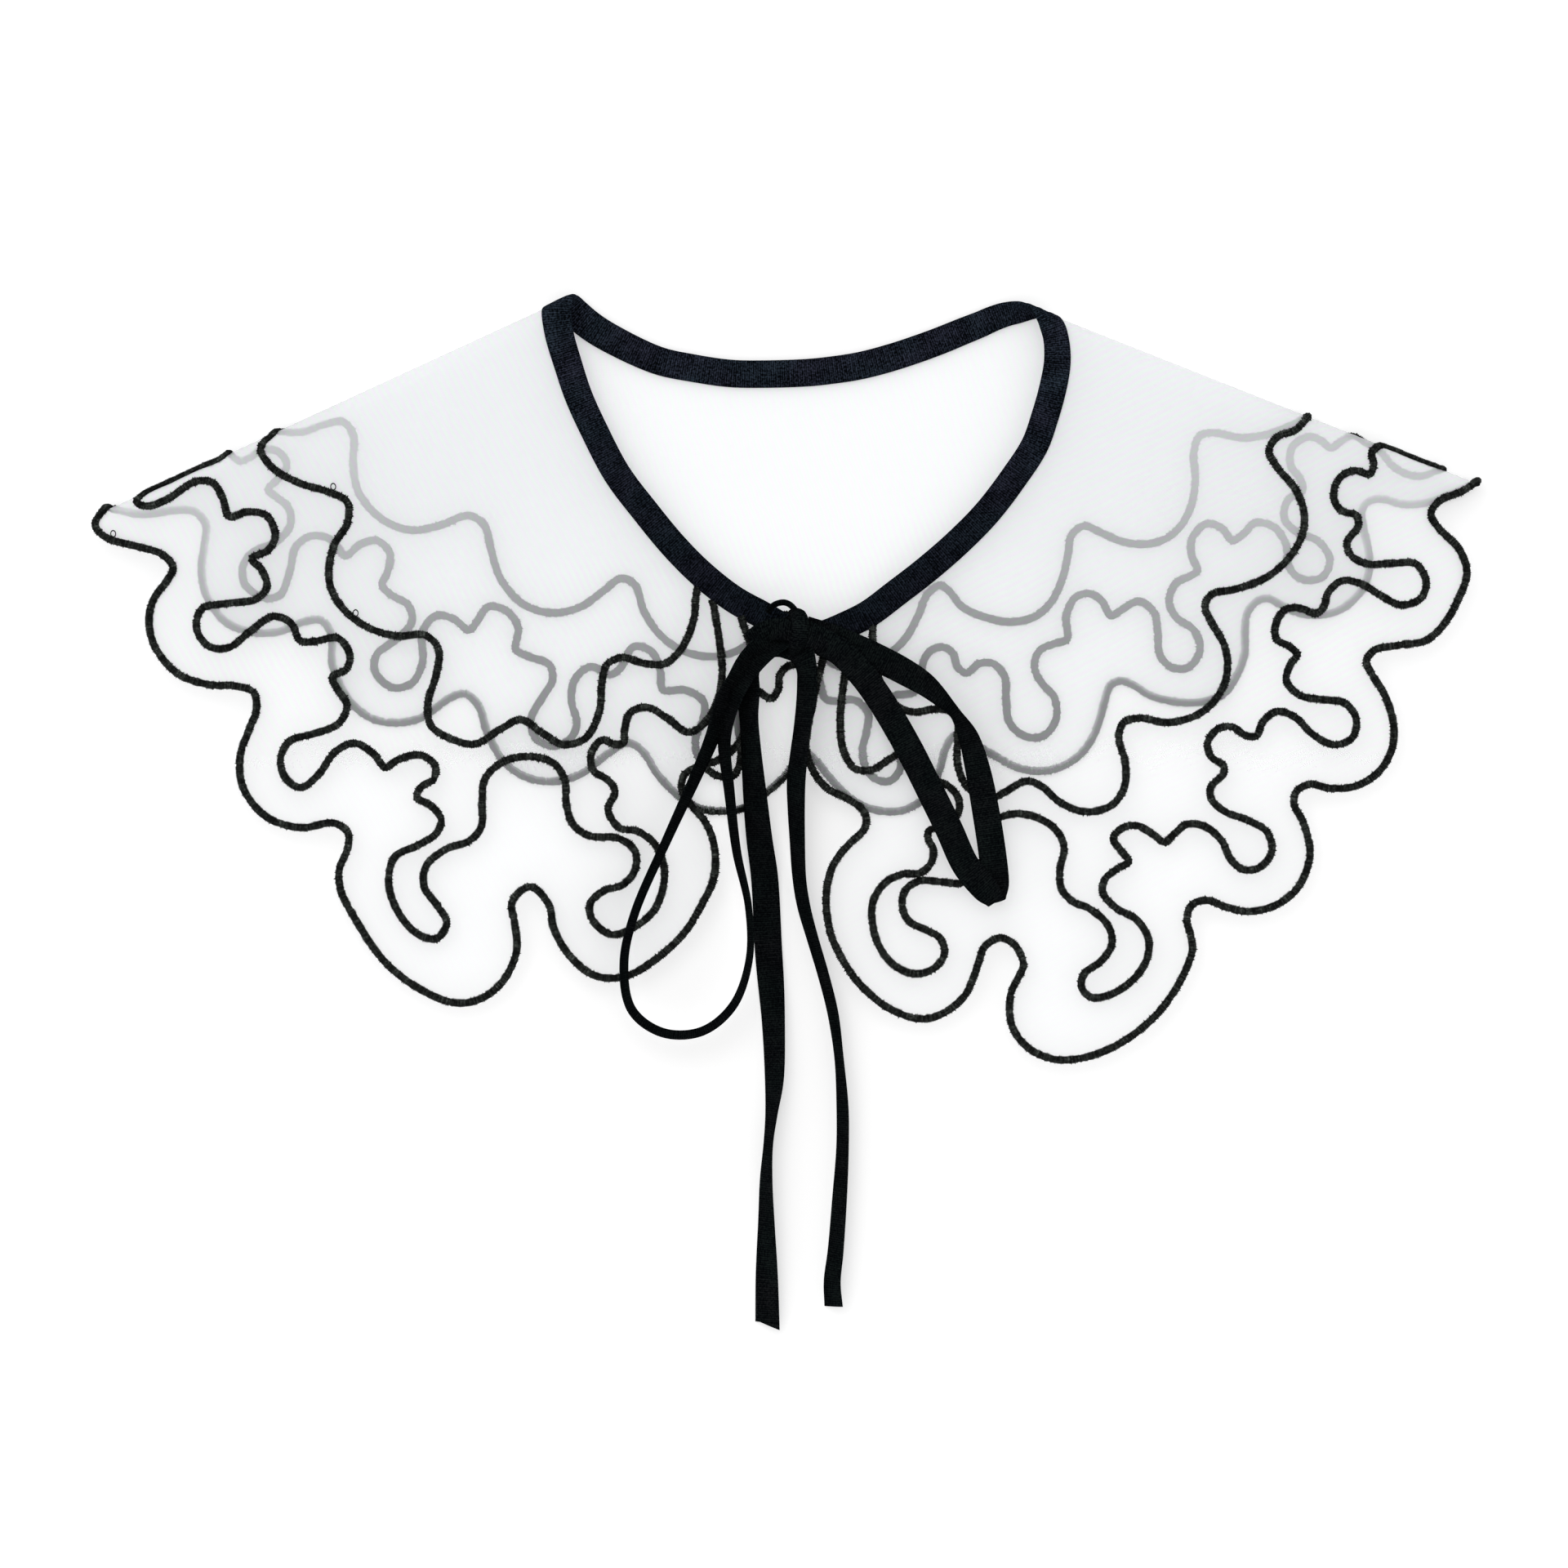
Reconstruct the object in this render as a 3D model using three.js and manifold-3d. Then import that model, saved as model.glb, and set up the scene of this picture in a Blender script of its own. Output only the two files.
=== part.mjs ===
// A sheer organza shoulder collar laid flat: one panel folded over at both shoulders, three black
// stitched cords, a ribbed tape round the neckline and a tape bow at the centre front.
// Millimetres, +Z up. The front panels lie on top, and +Y runs from the bow to the back of the neck.
import * as THREE from 'three';
import { mergeVertices } from 'three/addons/utils/BufferGeometryUtils.js';
import Module from 'manifold-3d';

// Driving dimensions
const span = 500; // across the shoulders, from fold tip to fold tip
const clothWall = 1; // organza
const foldGap = 9; // between the middles of the two layers at a shoulder fold
const openGap = 5.8; // the same where the front has come down
const fallLength = 110; // from the shoulder fold to where the front has come down
const hemCord = 2.8; // diameter of the cord along the hem
const lineWidth = 2.8; // width of the cords stitched on the cloth
const lineHeight = 1.5; // how far those cords stand off the cloth
const tapeWidth = 10; // ribbed tape, also when folded over the neckline
const tapeWall = 0.8; // one leaf of the neck binding
const tieWall = 1.2; // the doubled tape of the bow
const knotLength = 16.5; // bow knot across the collar
const knotBreadth = 15.5; // bow knot along the collar
const knotHeight = 9;
const turnWidth = 4; // the small turn of tape above the knot
const tailSlant = 0.34; // slope of the cut at the end of the left tail
const gap = 0.3; // clearance between neighbouring pieces

// Fineness of the curves
const cordTurn = THREE.MathUtils.degToRad(27);
const rollTurn = THREE.MathUtils.degToRad(9);
const cordStride = 14;
const rollStride = 2.2;
const tapeTurn = THREE.MathUtils.degToRad(14);
const tapeStride = 16;
const ribbonSteps = 3;
const foldSegments = 8;

// The tables below hold places in thousandths of the span, x to the right and y to the back
const unit = span / 1000;
const reach = span;

// Heights of the layers
const hemRadius = hemCord / 2;
const backMiddle = lineHeight + 0.35 * gap + gap + clothWall / 2;
const foldRadius = foldGap / 2;
const foldMiddle = backMiddle + foldRadius;
const frontTop = backMiddle + openGap + clothWall / 2;
const bowRest = frontTop + gap + lineHeight + 2 * gap;

// Each shoulder fold is a straight line from the neck to the tip of the shoulder
const leftFold = shoulderFold({ neckX: -163, neckY: 367.5, tipX: -492, tipY: 216 });
const rightFold = shoulderFold({ neckX: 203, neckY: 353.5, tipX: 500, tipY: 236 });

// Routes of the stitched cords, [x, y] in thousandths of the span. Each front list runs from the
// neckline to the shoulder fold, and each back list from the left fold to the right fold.
const edgeRoute = {
  leftFront: [
    [-30, 133], [-25, 118], [-25, 92], [-27, 68], [-33, 49], [-48, 36], [-62, 31.5], [-73, 25],
    [-74.5, 14], [-67, 2.5], [-57, -10], [-51, -28], [-51.5, -49], [-60, -68], [-73, -89],
    [-95, -109], [-116, -120.5], [-138, -119.5], [-156, -105], [-167, -86], [-171, -68],
    [-184, -55.5], [-197, -66], [-195, -84], [-194, -102], [-204, -124], [-220, -136.5],
    [-238, -139.5], [-262, -130.5], [-289, -110], [-311, -78], [-321, -58], [-322, -43],
    [-316, -28], [-316, -16], [-327, -9.5], [-349, -13], [-374, -5.5], [-391, 15], [-393.5, 38],
    [-387, 58], [-381.5, 73], [-384, 85], [-398, 89.5], [-414, 90], [-438, 98], [-455, 118],
    [-459, 138], [-455, 153], [-446, 165], [-441.5, 175], [-450, 184.5], [-470, 190.5],
    [-489, 196], [-497.5, 205], [-490, 216.9],
  ],
  back: [
    [-490, 216.9], [-479, 215.5], [-462, 214], [-442, 217], [-428, 216], [-420, 207], [-421, 191],
    [-423, 175], [-419, 154], [-404, 135], [-385, 128.5], [-367, 129], [-348, 136.5], [-336, 137],
    [-329, 127], [-328, 105], [-315, 78], [-298, 65.5], [-281, 63], [-263, 67], [-243, 81],
    [-232, 84], [-222, 75], [-216, 56], [-203, 34], [-186, 23], [-167, 20.5], [-148, 26],
    [-128, 41], [-114, 48.5], [-104, 43], [-92, 25], [-76, 9], [-60, 0.5], [-46, -1], [-31, 1],
    [-14, 12], [1, 26], [8, 37], [15, 41], [22, 36], [31, 25], [43, 12], [55, 3.5], [70, -1],
    [85, -0.5], [98, 6], [106, 15], [112, 29], [116, 44], [123, 54], [131, 54], [141, 45.5],
    [153, 38.5], [167, 31], [181, 28], [197, 30], [212, 38.5], [222, 51], [228, 66], [231.5, 79],
    [235.5, 90], [243, 93.3], [252, 90.5], [264, 83], [278, 79], [292, 77.5], [306, 79],
    [318, 84], [327, 97], [333, 114], [333, 130], [335, 143], [342, 151], [350, 153], [360, 148],
    [372, 142.5], [388, 141], [404, 146], [417, 158], [423, 172], [423, 186], [419, 204],
    [418, 217], [423, 223.5], [433, 225], [447, 221.5], [465, 222.5], [484, 229], [497, 237.2],
  ],
  rightFront: [
    [27.5, 110], [23, 92], [19, 73], [16, 57], [15, 45], [18, 33], [24, 22], [31.5, 14.6],
    [41, 10], [49, 5.5], [55, 1], [58.5, -6], [57, -14], [47, -24], [39, -33], [33, -44],
    [29.5, -62], [30.5, -78], [34, -93], [47.5, -118], [60, -132], [76, -144], [97.5, -151],
    [113, -147.5], [129, -135], [136, -121], [140, -109], [144, -99], [155, -92.5], [166, -98],
    [172, -112], [168.5, -121], [163.5, -131], [162, -145], [165, -159], [177, -173],
    [195, -180.3], [217, -178.7], [242, -168.5], [266, -150], [284, -126], [294, -101],
    [292.5, -90], [290, -79], [293.5, -69], [304, -65.3], [319, -70.5], [335, -73.5], [355, -68.5],
    [371, -55], [379, -32], [374, -9], [367.5, 4], [369, 13], [379, 18.5], [393, 15.5],
    [411.5, 17], [427, 26], [437, 41], [439.3, 60], [433, 82], [424, 97], [419.5, 107],
    [425, 115], [443, 118.8], [462, 122], [475, 133.5], [486, 153], [491.7, 171], [486, 188],
    [471, 203.5], [465.7, 213.5], [472, 223], [487, 228.5], [496.5, 232.5], [497, 237.2],
  ],
};
const meanderRoute = {
  leftFront: [
    [-51.5, 146], [-48, 125], [-45.5, 100], [-48, 82], [-57, 64], [-70, 56], [-85, 66],
    [-100, 74], [-112, 70], [-116, 58], [-117, 48], [-124, 47.5], [-132, 50.5], [-140, 41],
    [-139, 29], [-127, 20.5], [-123, 13], [-128, 0], [-120, -13], [-107, -15.5], [-95, -24],
    [-88, -39], [-88, -55], [-95, -73], [-112, -86.5], [-126, -90], [-139, -80], [-141, -68],
    [-131, -58.5], [-117, -54], [-108, -42], [-109, -29], [-121, -20.5], [-141, -19], [-153, -11],
    [-158, 3], [-159.5, 22], [-168, 34], [-187, 38.5], [-205, 34], [-217, 22], [-219, 5],
    [-219.5, -12], [-228, -22.5], [-244, -28], [-259, -40], [-261, -55], [-250, -71],
    [-244.5, -82], [-252, -93], [-265, -90], [-279, -75], [-286.5, -53], [-282, -34], [-266, -26],
    [-252, -17], [-248.5, -7], [-256, 3], [-266, 9], [-263, 16.5], [-254, 22], [-253, 32],
    [-264, 39.5], [-280, 36], [-289, 30.5], [-297, 40], [-311, 48], [-325, 42], [-337, 25.5],
    [-350, 16], [-361, 23], [-364.5, 37], [-358, 49.5], [-340, 55], [-323, 62], [-316.5, 75],
    [-324, 88], [-327, 96], [-317, 101.5], [-314.5, 112], [-323, 124], [-340, 121.5], [-350, 122],
    [-357, 135], [-370, 139.5], [-386, 129], [-402, 117], [-416, 118], [-425, 131], [-421, 145],
    [-402, 149], [-382, 152], [-374, 161], [-378, 173.5], [-385, 181], [-373, 187.5], [-368, 198],
    [-374, 212], [-388, 215], [-401, 211.5], [-406, 225], [-413, 236], [-426, 236.5],
    [-445, 224.5], [-460, 219], [-468, 222], [-464, 227.6],
  ],
  back: [
    [-464, 227.6], [-444, 236.5], [-424, 245.4], [-402, 255.2], [-395, 251.5], [-388, 255],
    [-378, 261], [-366, 258.5], [-361, 249], [-368, 239], [-374.5, 232], [-368, 226], [-360, 219],
    [-358.5, 206], [-368, 194.5], [-386, 186], [-393, 175], [-391, 163], [-378, 153.5],
    [-366, 155.5], [-359, 172], [-354, 191], [-342, 198.5], [-328, 195], [-318.5, 184],
    [-308, 192], [-296, 195], [-286.5, 186], [-288, 172], [-292, 163], [-286, 156], [-273, 148],
    [-270.5, 136], [-281, 124], [-296, 112], [-297, 100], [-285, 88.5], [-270, 92], [-262.5, 108],
    [-263, 128], [-253, 140.5], [-240, 138], [-229, 130], [-223.5, 136], [-215, 147], [-202, 144],
    [-193.5, 132], [-195, 116], [-186, 111], [-171, 105], [-168.5, 94], [-176, 81], [-184, 66],
    [-181, 52], [-168, 46], [-156, 51], [-151, 62], [-155, 80], [-152, 95], [-141, 103.5],
    [-126, 98], [-119, 103], [-110, 118], [-97, 114.5], [-90.5, 101], [-88.5, 87], [-72, 86.5],
    [-59, 78], [-59.5, 65], [-65, 51], [-62, 36], [-50, 25], [-37, 25], [-32, 40], [-34, 58],
    [-36, 72], [-32, 85], [-22, 87], [-10.5, 80.5], [-5, 87], [-4, 97], [2, 104], [13, 105],
    [22, 101], [25.5, 91], [29, 80.5], [38, 78.5], [50, 79.5], [60, 70], [59, 57], [56, 43],
    [59, 29], [67, 21.5], [76, 21], [83.5, 30], [81, 45], [74, 58], [71, 72], [78, 82],
    [92, 84.5], [99, 91], [99, 103], [104, 114], [113, 117.8], [121, 114], [125, 103], [131, 99],
    [141, 106], [151, 105.5], [159, 96], [160, 80], [162.5, 63], [174, 53], [187, 53.5],
    [196, 65], [195, 81], [186, 91.5], [180.5, 103], [184, 115], [195, 120.3], [204, 123.5],
    [203.5, 140], [210, 153.5], [220, 156.5], [229, 151.5], [236, 140.5], [244, 145], [256, 151],
    [267, 143], [270, 127], [271, 113], [279, 103.5], [292, 103], [300.5, 116], [296, 130],
    [283, 139.5], [278, 151], [283, 164], [293, 169], [298.5, 173.5], [294.5, 183.5], [295, 197],
    [305, 207], [316, 204], [324, 195], [332, 200], [341, 208], [355, 204], [363, 191],
    [364, 177.5], [374, 167], [389, 168.5], [394.5, 181], [386, 194.5], [370, 201.5],
    [361.5, 211], [364, 224], [374.5, 231.5], [373, 239.5], [366, 250], [367.5, 263], [379, 270],
    [388, 267.5], [395, 262], [402, 266.5], [410, 270], [420, 265], [431, 259], [440, 249],
    [449, 243.5], [460, 241.5], [470, 244.5], [475, 245.9],
  ],
  rightFront: [
    [46.5, 118], [43.5, 100], [41, 82], [39.7, 62], [42, 43], [50, 30], [62, 28.5], [76, 37],
    [87, 42], [98, 36], [108, 22], [118, 17], [125, 8.5], [125, -2], [116, -11.5], [104.5, -14.5],
    [103, -20], [107, -29], [105, -39], [97, -45.8], [85, -46.5], [72, -53], [63.5, -66],
    [63, -82], [68, -99], [79, -112.5], [93, -118.5], [107, -115], [115, -104], [112, -93],
    [101, -86.5], [90, -81], [84.5, -70], [87, -58], [97, -51.5], [112, -52], [127, -53],
    [139, -46], [143, -33], [142, -20], [147, -10], [155, -5.5], [168, -2.8], [184, -6.5],
    [196, -15], [201.5, -27], [198.5, -43], [199.5, -57], [208, -66.5], [220, -71.5],
    [233, -83.5], [236, -97], [228, -109.5], [216, -118.5], [214, -128], [221, -135.5],
    [235, -133.5], [251, -123], [261, -108.5], [262.5, -94], [254, -79.5], [239, -71],
    [229.5, -60], [231, -50], [241, -42], [248, -37.5], [243, -30], [237, -21], [243, -13.5],
    [254, -11.5], [266, -18], [274, -23.5], [281, -17.5], [290, -10.5], [303, -12], [315, -22],
    [322, -36], [331, -43.2], [343, -41.5], [351.5, -30], [348, -16], [334, -7.5], [318, -1.5],
    [308, 7.5], [307.5, 16.5], [316.5, 26], [316.5, 32], [308, 38], [305, 48], [312, 58],
    [322, 60], [333, 53.5], [340.5, 53.5], [345, 63.5], [355, 71], [368, 67], [381, 54.5],
    [396, 47], [409, 51.5], [412.5, 65], [404, 77], [388, 79.5], [372, 82.5], [362, 93],
    [364.5, 104.5], [369.5, 112], [364, 118], [355, 123], [354, 133], [361, 144.5], [372, 145.5],
    [383, 141.8], [388.5, 146], [392, 157], [402, 165.3], [416, 163], [430, 154.5], [445, 147.8],
    [459, 153], [462.5, 165], [455, 177.5], [440, 178], [420, 177.5], [408, 184], [405.5, 193],
    [413.5, 205], [412, 212.5], [401, 216], [395.5, 227], [401, 240.5], [412, 244.7],
    [421.5, 242], [424.5, 249], [423.5, 258], [431, 261], [445, 256], [460, 250.5], [475, 245.9],
  ],
};
const innerRoute = {
  leftFront: [
    [-64.5, 155], [-66, 138], [-74, 118], [-87, 105.5], [-103, 106], [-118, 110], [-129, 104.5],
    [-132.5, 91], [-134, 72], [-144, 52], [-160, 47], [-174, 54.5], [-191, 65], [-206, 58],
    [-224, 47.5], [-241, 51], [-256, 61], [-258, 78], [-252, 98], [-250.5, 116], [-260, 126],
    [-280, 125.5], [-300, 131], [-319, 145], [-329, 164], [-326, 190], [-316, 207], [-316, 222],
    [-330, 229.5], [-350, 235.5], [-369, 246], [-377, 257], [-373, 265], [-367, 270.8],
  ],
  back: [
    [-367, 270.8], [-350, 273.5], [-334, 279], [-321, 281], [-313, 272], [-313, 250], [-309, 230],
    [-293, 211], [-271, 202.5], [-250, 206], [-229, 213], [-218, 206], [-213, 188], [-206, 167],
    [-190, 149], [-169, 142.5], [-148, 147], [-131, 159], [-119, 167.5], [-109, 163],
    [-102, 143], [-88, 124], [-70, 113.5], [-52, 111], [-35, 115], [-20, 126], [-8, 138],
    [4, 141], [14, 132], [24, 115], [38, 104], [55, 103], [74, 112], [87, 124], [96, 140],
    [103, 156], [112, 162.5], [119, 158], [128, 147], [146, 139], [164, 136], [181, 140],
    [193, 151], [201, 168], [205, 186], [207, 198], [216, 205.5], [228, 201], [243, 194.5],
    [260, 192.3], [274, 195.5], [286, 205], [294, 220], [297, 238], [296, 258], [300, 270.5],
    [310, 273], [330, 269.5], [346, 271], [361, 276], [378, 284.3],
  ],
  rightFront: [
    [63, 126], [64, 112], [67, 97], [73, 83], [83, 73.5], [94, 70.5], [106, 72.5], [117, 72],
    [124, 65], [124.5, 50], [124.5, 33], [129, 20], [138, 11], [150, 8.5], [160, 13.5],
    [174, 20.7], [185, 17], [197, 6.5], [211, -0.5], [225, -1], [238, 5], [245.5, 18],
    [245.5, 35], [241, 52], [244.5, 63], [257, 66.2], [274, 63], [290, 65.5], [305, 73.5],
    [316, 88], [319.5, 103], [317, 119], [308, 135], [303, 147], [308, 155.5], [324, 159],
    [346, 167], [362, 180], [373, 198], [374.5, 214], [368, 231.5], [355, 247], [349, 259],
    [355, 269], [368, 274], [378, 284.3],
  ],
};

// Middle line of the neck tape, in the same way
const neckRoute = {
  leftFront: [
    [-17, 141.5], [-37, 152], [-60, 170], [-80, 190], [-101.5, 216], [-121.5, 242.6],
    [-137.5, 273], [-149.3, 299], [-157, 322.3], [-162.5, 341], [-165, 356.7], [-164.8, 363.8],
    [-163, 367.5],
  ],
  back: [
    [-163, 367.5], [-159, 366.4], [-153.5, 362], [-141, 351.5], [-125, 341.5], [-92.3, 326],
    [-67.7, 320], [-40, 316], [-15.4, 315.5], [15.4, 316.5], [30.8, 318], [53.8, 321.5],
    [78.5, 328], [107.7, 338], [130, 345], [146, 347.8], [158, 348.5], [166, 350.5],
    [173.7, 355.4], [179.5, 359.9], [184, 361],
  ],
  rightFront: [
    [30, 127.5], [42, 132.5], [60, 141.5], [79.5, 156], [101.5, 173], [123.7, 192.2],
    [145.5, 214.3], [165, 239.8], [180, 263], [187, 284], [191.8, 303], [193, 320],
    [190.5, 336], [187.7, 349.9], [186.5, 357.2], [184, 361],
  ],
};

// Strips of the bow. x and y are thousandths of the span, on is 1 over the collar and 0 on the
// surface, lift is extra height in tape widths, across is the plan direction of the tape's width
// in degrees, and lean is how far that width is tipped up out of the level, in degrees.
const ribbonColumns = ['x', 'y', 'on', 'lift', 'across', 'lean'];
const leftLoopRows = [
  [2, 136, 1, 0.1, 140, 70],
  [-16, 127, 1, 0.05, 142, 74],
  [-30, 109, 1, 0, 148, 76],
  [-42, 86, 1, 0, 154, 74],
  [-55, 53, 1, 0, 157, 68],
  [-66, 25, 1, 0, 157, 68],
  [-85, -20, 1, 0, 157, 76],
  [-109, -75, 1, 0, 162, 77],
  [-116.5, -110, 1, 0, 178, 76],
  [-111, -144, 0.95, 0, 215, 76],
  [-88, -161, 0.9, 0, 258, 75],
  [-60, -160, 0.9, 0, 290, 75],
  [-37, -141, 0.95, 0, 325, 76],
  [-25.5, -108, 1, 0, 350, 78],
  [-26, -70, 1, 0, 367, 78],
  [-34.5, -30, 1, 0, 375, 76],
  [-41, 15, 1, 0, 372, 74],
  [-43.5, 50, 1, 0, 365, 76],
  [-35.5, 82, 1, 0, 350, 79],
  [-25, 101, 1, 0, 335, 80],
  [-12, 118, 1, 0, 324, 80],
  [4, 131, 1, 0, 318, 80],
];
const rightLoopRows = [
  [14, 124, 1, 0.3, 60, 8],
  [38, 112, 1, 0.24, 46, 8],
  [54, 99, 1, 0.18, 37, 8],
  [67, 81.5, 1, 0.18, 31, 8],
  [87, 48, 1, 0.18, 29, 8],
  [106, 10.5, 1, 0.18, 28, 8],
  [118, -14, 1, 0.2, 30, 6],
  [130, -40, 1, 0.26, 36, 4],
  [143, -56, 1, 0.27, 36, 3],
  [150, -63.5, 1, 0.26, 28, 2],
  [152.5, -66.5, 1, 0.14, 21, 10],
  [152.3, -62, 1, 0, 14, 6],
  [151, -45, 1, 0, 8, 4],
  [148.5, -25, 1, 0, 8, 6],
  [144.5, 0, 1, 0, 12, 14],
  [138.5, 31, 1, 0, 16, 30],
  [131.8, 54, 1, 0, 22, 48],
  [122.5, 70, 1, 0, 33, 68],
  [112, 81, 1, 0, 45, 54],
  [101, 90.5, 1, 0, 54, 36],
  [88, 98.5, 1, 0, 60, 20],
  [72, 107, 1, 0, 62, 8],
  [55, 115, 1, 0, 66, 3],
  [36, 123, 1, 0, 72, 2],
  [14, 130, 1, 0, 76, 2],
];
const leftTailRows = [
  [2, 117, 1, 0, 70, 8],
  [-7, 109, 1, 0, 52, 22],
  [-15, 99, 1, 0, 36, 46],
  [-21.5, 86, 1, 0, 14, 56],
  [-25, 66, 1, 0, 4, 50],
  [-25, 45, 1, 0, 4, 44],
  [-22.5, 15, 0.8, 0, 5, 35],
  [-19, -20, 0.4, 0, 6, 22],
  [-15, -50, 0.1, 0, 6, 12],
  [-12.3, -100, 0, 0.03, 4, 8],
  [-9, -150, 0, 0.03, 3, 33],
  [-8.2, -195, 0, 0.03, 0, 48],
  [-10.4, -220, 0, 0.03, -4, 65],
  [-12.7, -242, 0, 0.03, -4, 71],
  [-14.2, -268, 0, 0.03, 0, 64],
  [-14, -300, 0, 0.03, 0, 54],
  [-13.6, -340, 0, 0.03, 0, 37],
  [-13.1, -373, 0, 0.04, 0, 30],
];
const rightTailRows = [
  [11, 114, 1, -0.04, 0, 4],
  [16.5, 103, 1, 0, 0, 7],
  [17, 92, 1, 0, 0, 28],
  [14.5, 75, 1, 0, -4, 46],
  [11.5, 58, 1, 0, -4, 55],
  [9.5, 40, 1, 0, -4, 52],
  [7.5, 20, 0.85, 0, -2, 50],
  [7.5, 0, 0.6, 0, 0, 54],
  [8.2, -20, 0.35, 0, 2, 58],
  [9.8, -50, 0.1, 0, 6, 62],
  [13, -70, 0, 0.03, 14, 63],
  [19, -92, 0, 0.03, 16, 66],
  [27, -119, 0, 0.03, 15, 67],
  [34, -147, 0, 0.03, 12, 68],
  [38.5, -180, 0, 0.03, 6, 72],
  [41, -215, 0, 0.03, 0, 66],
  [41, -245, 0, 0.03, -2, 65],
  [39, -280, 0, 0.03, -4, 60],
  [36, -320, 0, 0.03, -6, 57],
  [33.6, -342, 0, 0.03, -2, 54],
  [34.7, -359.5, 0, 0.03, 3, 50],
];
const turnRows = [
  [-13, 142, 1, 0, 120, 84],
  [-9, 147, 1, 0, 110, 84],
  [-2, 149.5, 1, 0, 90, 84],
  [5, 146.5, 1, 0, 50, 84],
  [9, 140, 1, 0, 30, 84],
  [9, 132, 1, 0, 0, 84],
];
const knotPlace = { x: 7.5, y: 127, turn: THREE.MathUtils.degToRad(-24) };

const wasm = await Module();
wasm.setup();

function shoulderFold({ neckX, neckY, tipX, tipY }) {
  const start = new THREE.Vector2(neckX, neckY).multiplyScalar(unit);
  const along = new THREE.Vector2(tipX, tipY).multiplyScalar(unit).sub(start).normalize();
  const out = new THREE.Vector2(-along.y, along.x);
  if (out.y < 0) out.negate();
  return { start, out };
}

// How far a place lies inside the outline of a shoulder fold
function foldDepth(fold, x, y) {
  return (fold.start.x - x) * fold.out.x + (fold.start.y - y) * fold.out.y;
}

// Middle height of the front layer, which comes down from the fold to the open gap
function frontMiddle(depth) {
  const fallen = THREE.MathUtils.clamp((depth - foldRadius) / fallLength, 0, 1);
  return backMiddle + THREE.MathUtils.lerp(foldGap, openGap, fallen);
}

// The place on the cloth's middle surface over a plan place, with its outward normal.
// face is 1 on the front layer and -1 on the back layer.
function onCloth(x, y, face, fold) {
  const inside = foldDepth(fold, x, y);
  const depth = Math.max(inside, 0);
  const shift = Math.min(inside, 0);
  const point = new THREE.Vector3(x + fold.out.x * shift, y + fold.out.y * shift, 0);
  if (depth >= foldRadius) {
    point.z = face > 0 ? frontMiddle(depth) : backMiddle;
    return { point, normal: new THREE.Vector3(0, 0, face), rolled: false };
  }
  const level = foldRadius - depth;
  const rise = face * Math.sqrt(foldRadius * foldRadius - level * level);
  point.z = foldMiddle + rise;
  const normal = new THREE.Vector3(fold.out.x * level, fold.out.y * level, rise);
  return { point, normal: normal.divideScalar(foldRadius), rolled: true };
}

// Fine places along one list of a route, laid on its layer of cloth. Ends that meet the other
// layer are moved onto the line of the fold.
function layRoute(rows, face, sideOf) {
  const spots = rows.map(([x, y]) => new THREE.Vector3(x * unit, y * unit, 0));
  const meeting = face < 0 ? [spots[0], spots.at(-1)] : [spots.at(-1)];
  meeting.forEach((spot) => {
    const fold = sideOf(spot.x);
    const depth = foldDepth(fold, spot.x, spot.y);
    spot.add(new THREE.Vector3(fold.out.x, fold.out.y, 0).multiplyScalar(depth));
  });
  const curve = new THREE.CatmullRomCurve3(spots, false, 'centripetal');
  return curve.getPoints(rows.length * 10).map(({ x, y }) => onCloth(x, y, face, sideOf(x)));
}

// The whole route: up the left front, round the back and down the right front
function wholeRoute(route) {
  const left = layRoute(route.leftFront, 1, () => leftFold);
  const back = layRoute(route.back, -1, (x) => (x < 0 ? leftFold : rightFold));
  const right = layRoute(route.rightFront, 1, () => rightFold).reverse();
  left.forEach((spot) => (spot.part = 'leftFront'));
  back.forEach((spot) => (spot.part = 'back'));
  right.forEach((spot) => (spot.part = 'rightFront'));
  return [...left, ...back.slice(1), ...right.slice(1)];
}

// Keeps only the places that the bends need, closer together where the cloth rolls over
function thinRoute(spots, turn, stride) {
  const kept = [spots[0]];
  const heading = (i) => spots[i].point.clone().sub(spots[i - 1].point).normalize();
  let last = heading(1);
  for (let i = 2; i < spots.length - 1; i += 1) {
    const far = spots[i].point.distanceTo(kept.at(-1).point);
    const { part, rolled } = spots[i];
    const corner = part !== spots[i - 1].part || rolled !== spots[i - 1].rolled;
    const turned = heading(i).angleTo(last) > (rolled ? rollTurn : turn);
    if ((turned || far > (rolled ? rollStride : stride) || corner) && far > clothWall) {
      kept.push(spots[i]);
      last = heading(i);
    }
  }
  if (kept.at(-1).point.distanceTo(spots.at(-1).point) < clothWall) kept.pop();
  kept.push(spots.at(-1));
  return kept;
}

// Adds the forward, outward and sideways directions to each place
function withFrames(spots) {
  return spots.map((spot, i) => {
    const before = spots[Math.max(i - 1, 0)].point;
    const after = spots[Math.min(i + 1, spots.length - 1)].point;
    const tangent = after.clone().sub(before).normalize();
    const normal = spot.normal.clone().addScaledVector(tangent, -spot.normal.dot(tangent)).normalize();
    const side = tangent.clone().cross(normal);
    return { ...spot, tangent, normal, side };
  });
}

// A path whose places and cross directions are given one by one
class GuidedPath extends THREE.Curve {
  constructor(stations, lift = 0) {
    super();
    this.stations = stations;
    this.lift = lift;
  }

  getSpacedPoints() {
    return this.stations.map(({ point, normal }) => point.clone().addScaledVector(normal, this.lift));
  }

  computeFrenetFrames() {
    return {
      tangents: this.stations.map((station) => station.tangent),
      normals: this.stations.map((station) => station.normal),
      binormals: this.stations.map((station) => station.side),
    };
  }
}

function outline(corners) {
  return new THREE.Shape(corners.map(([x, y]) => new THREE.Vector2(x, y)));
}

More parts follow.
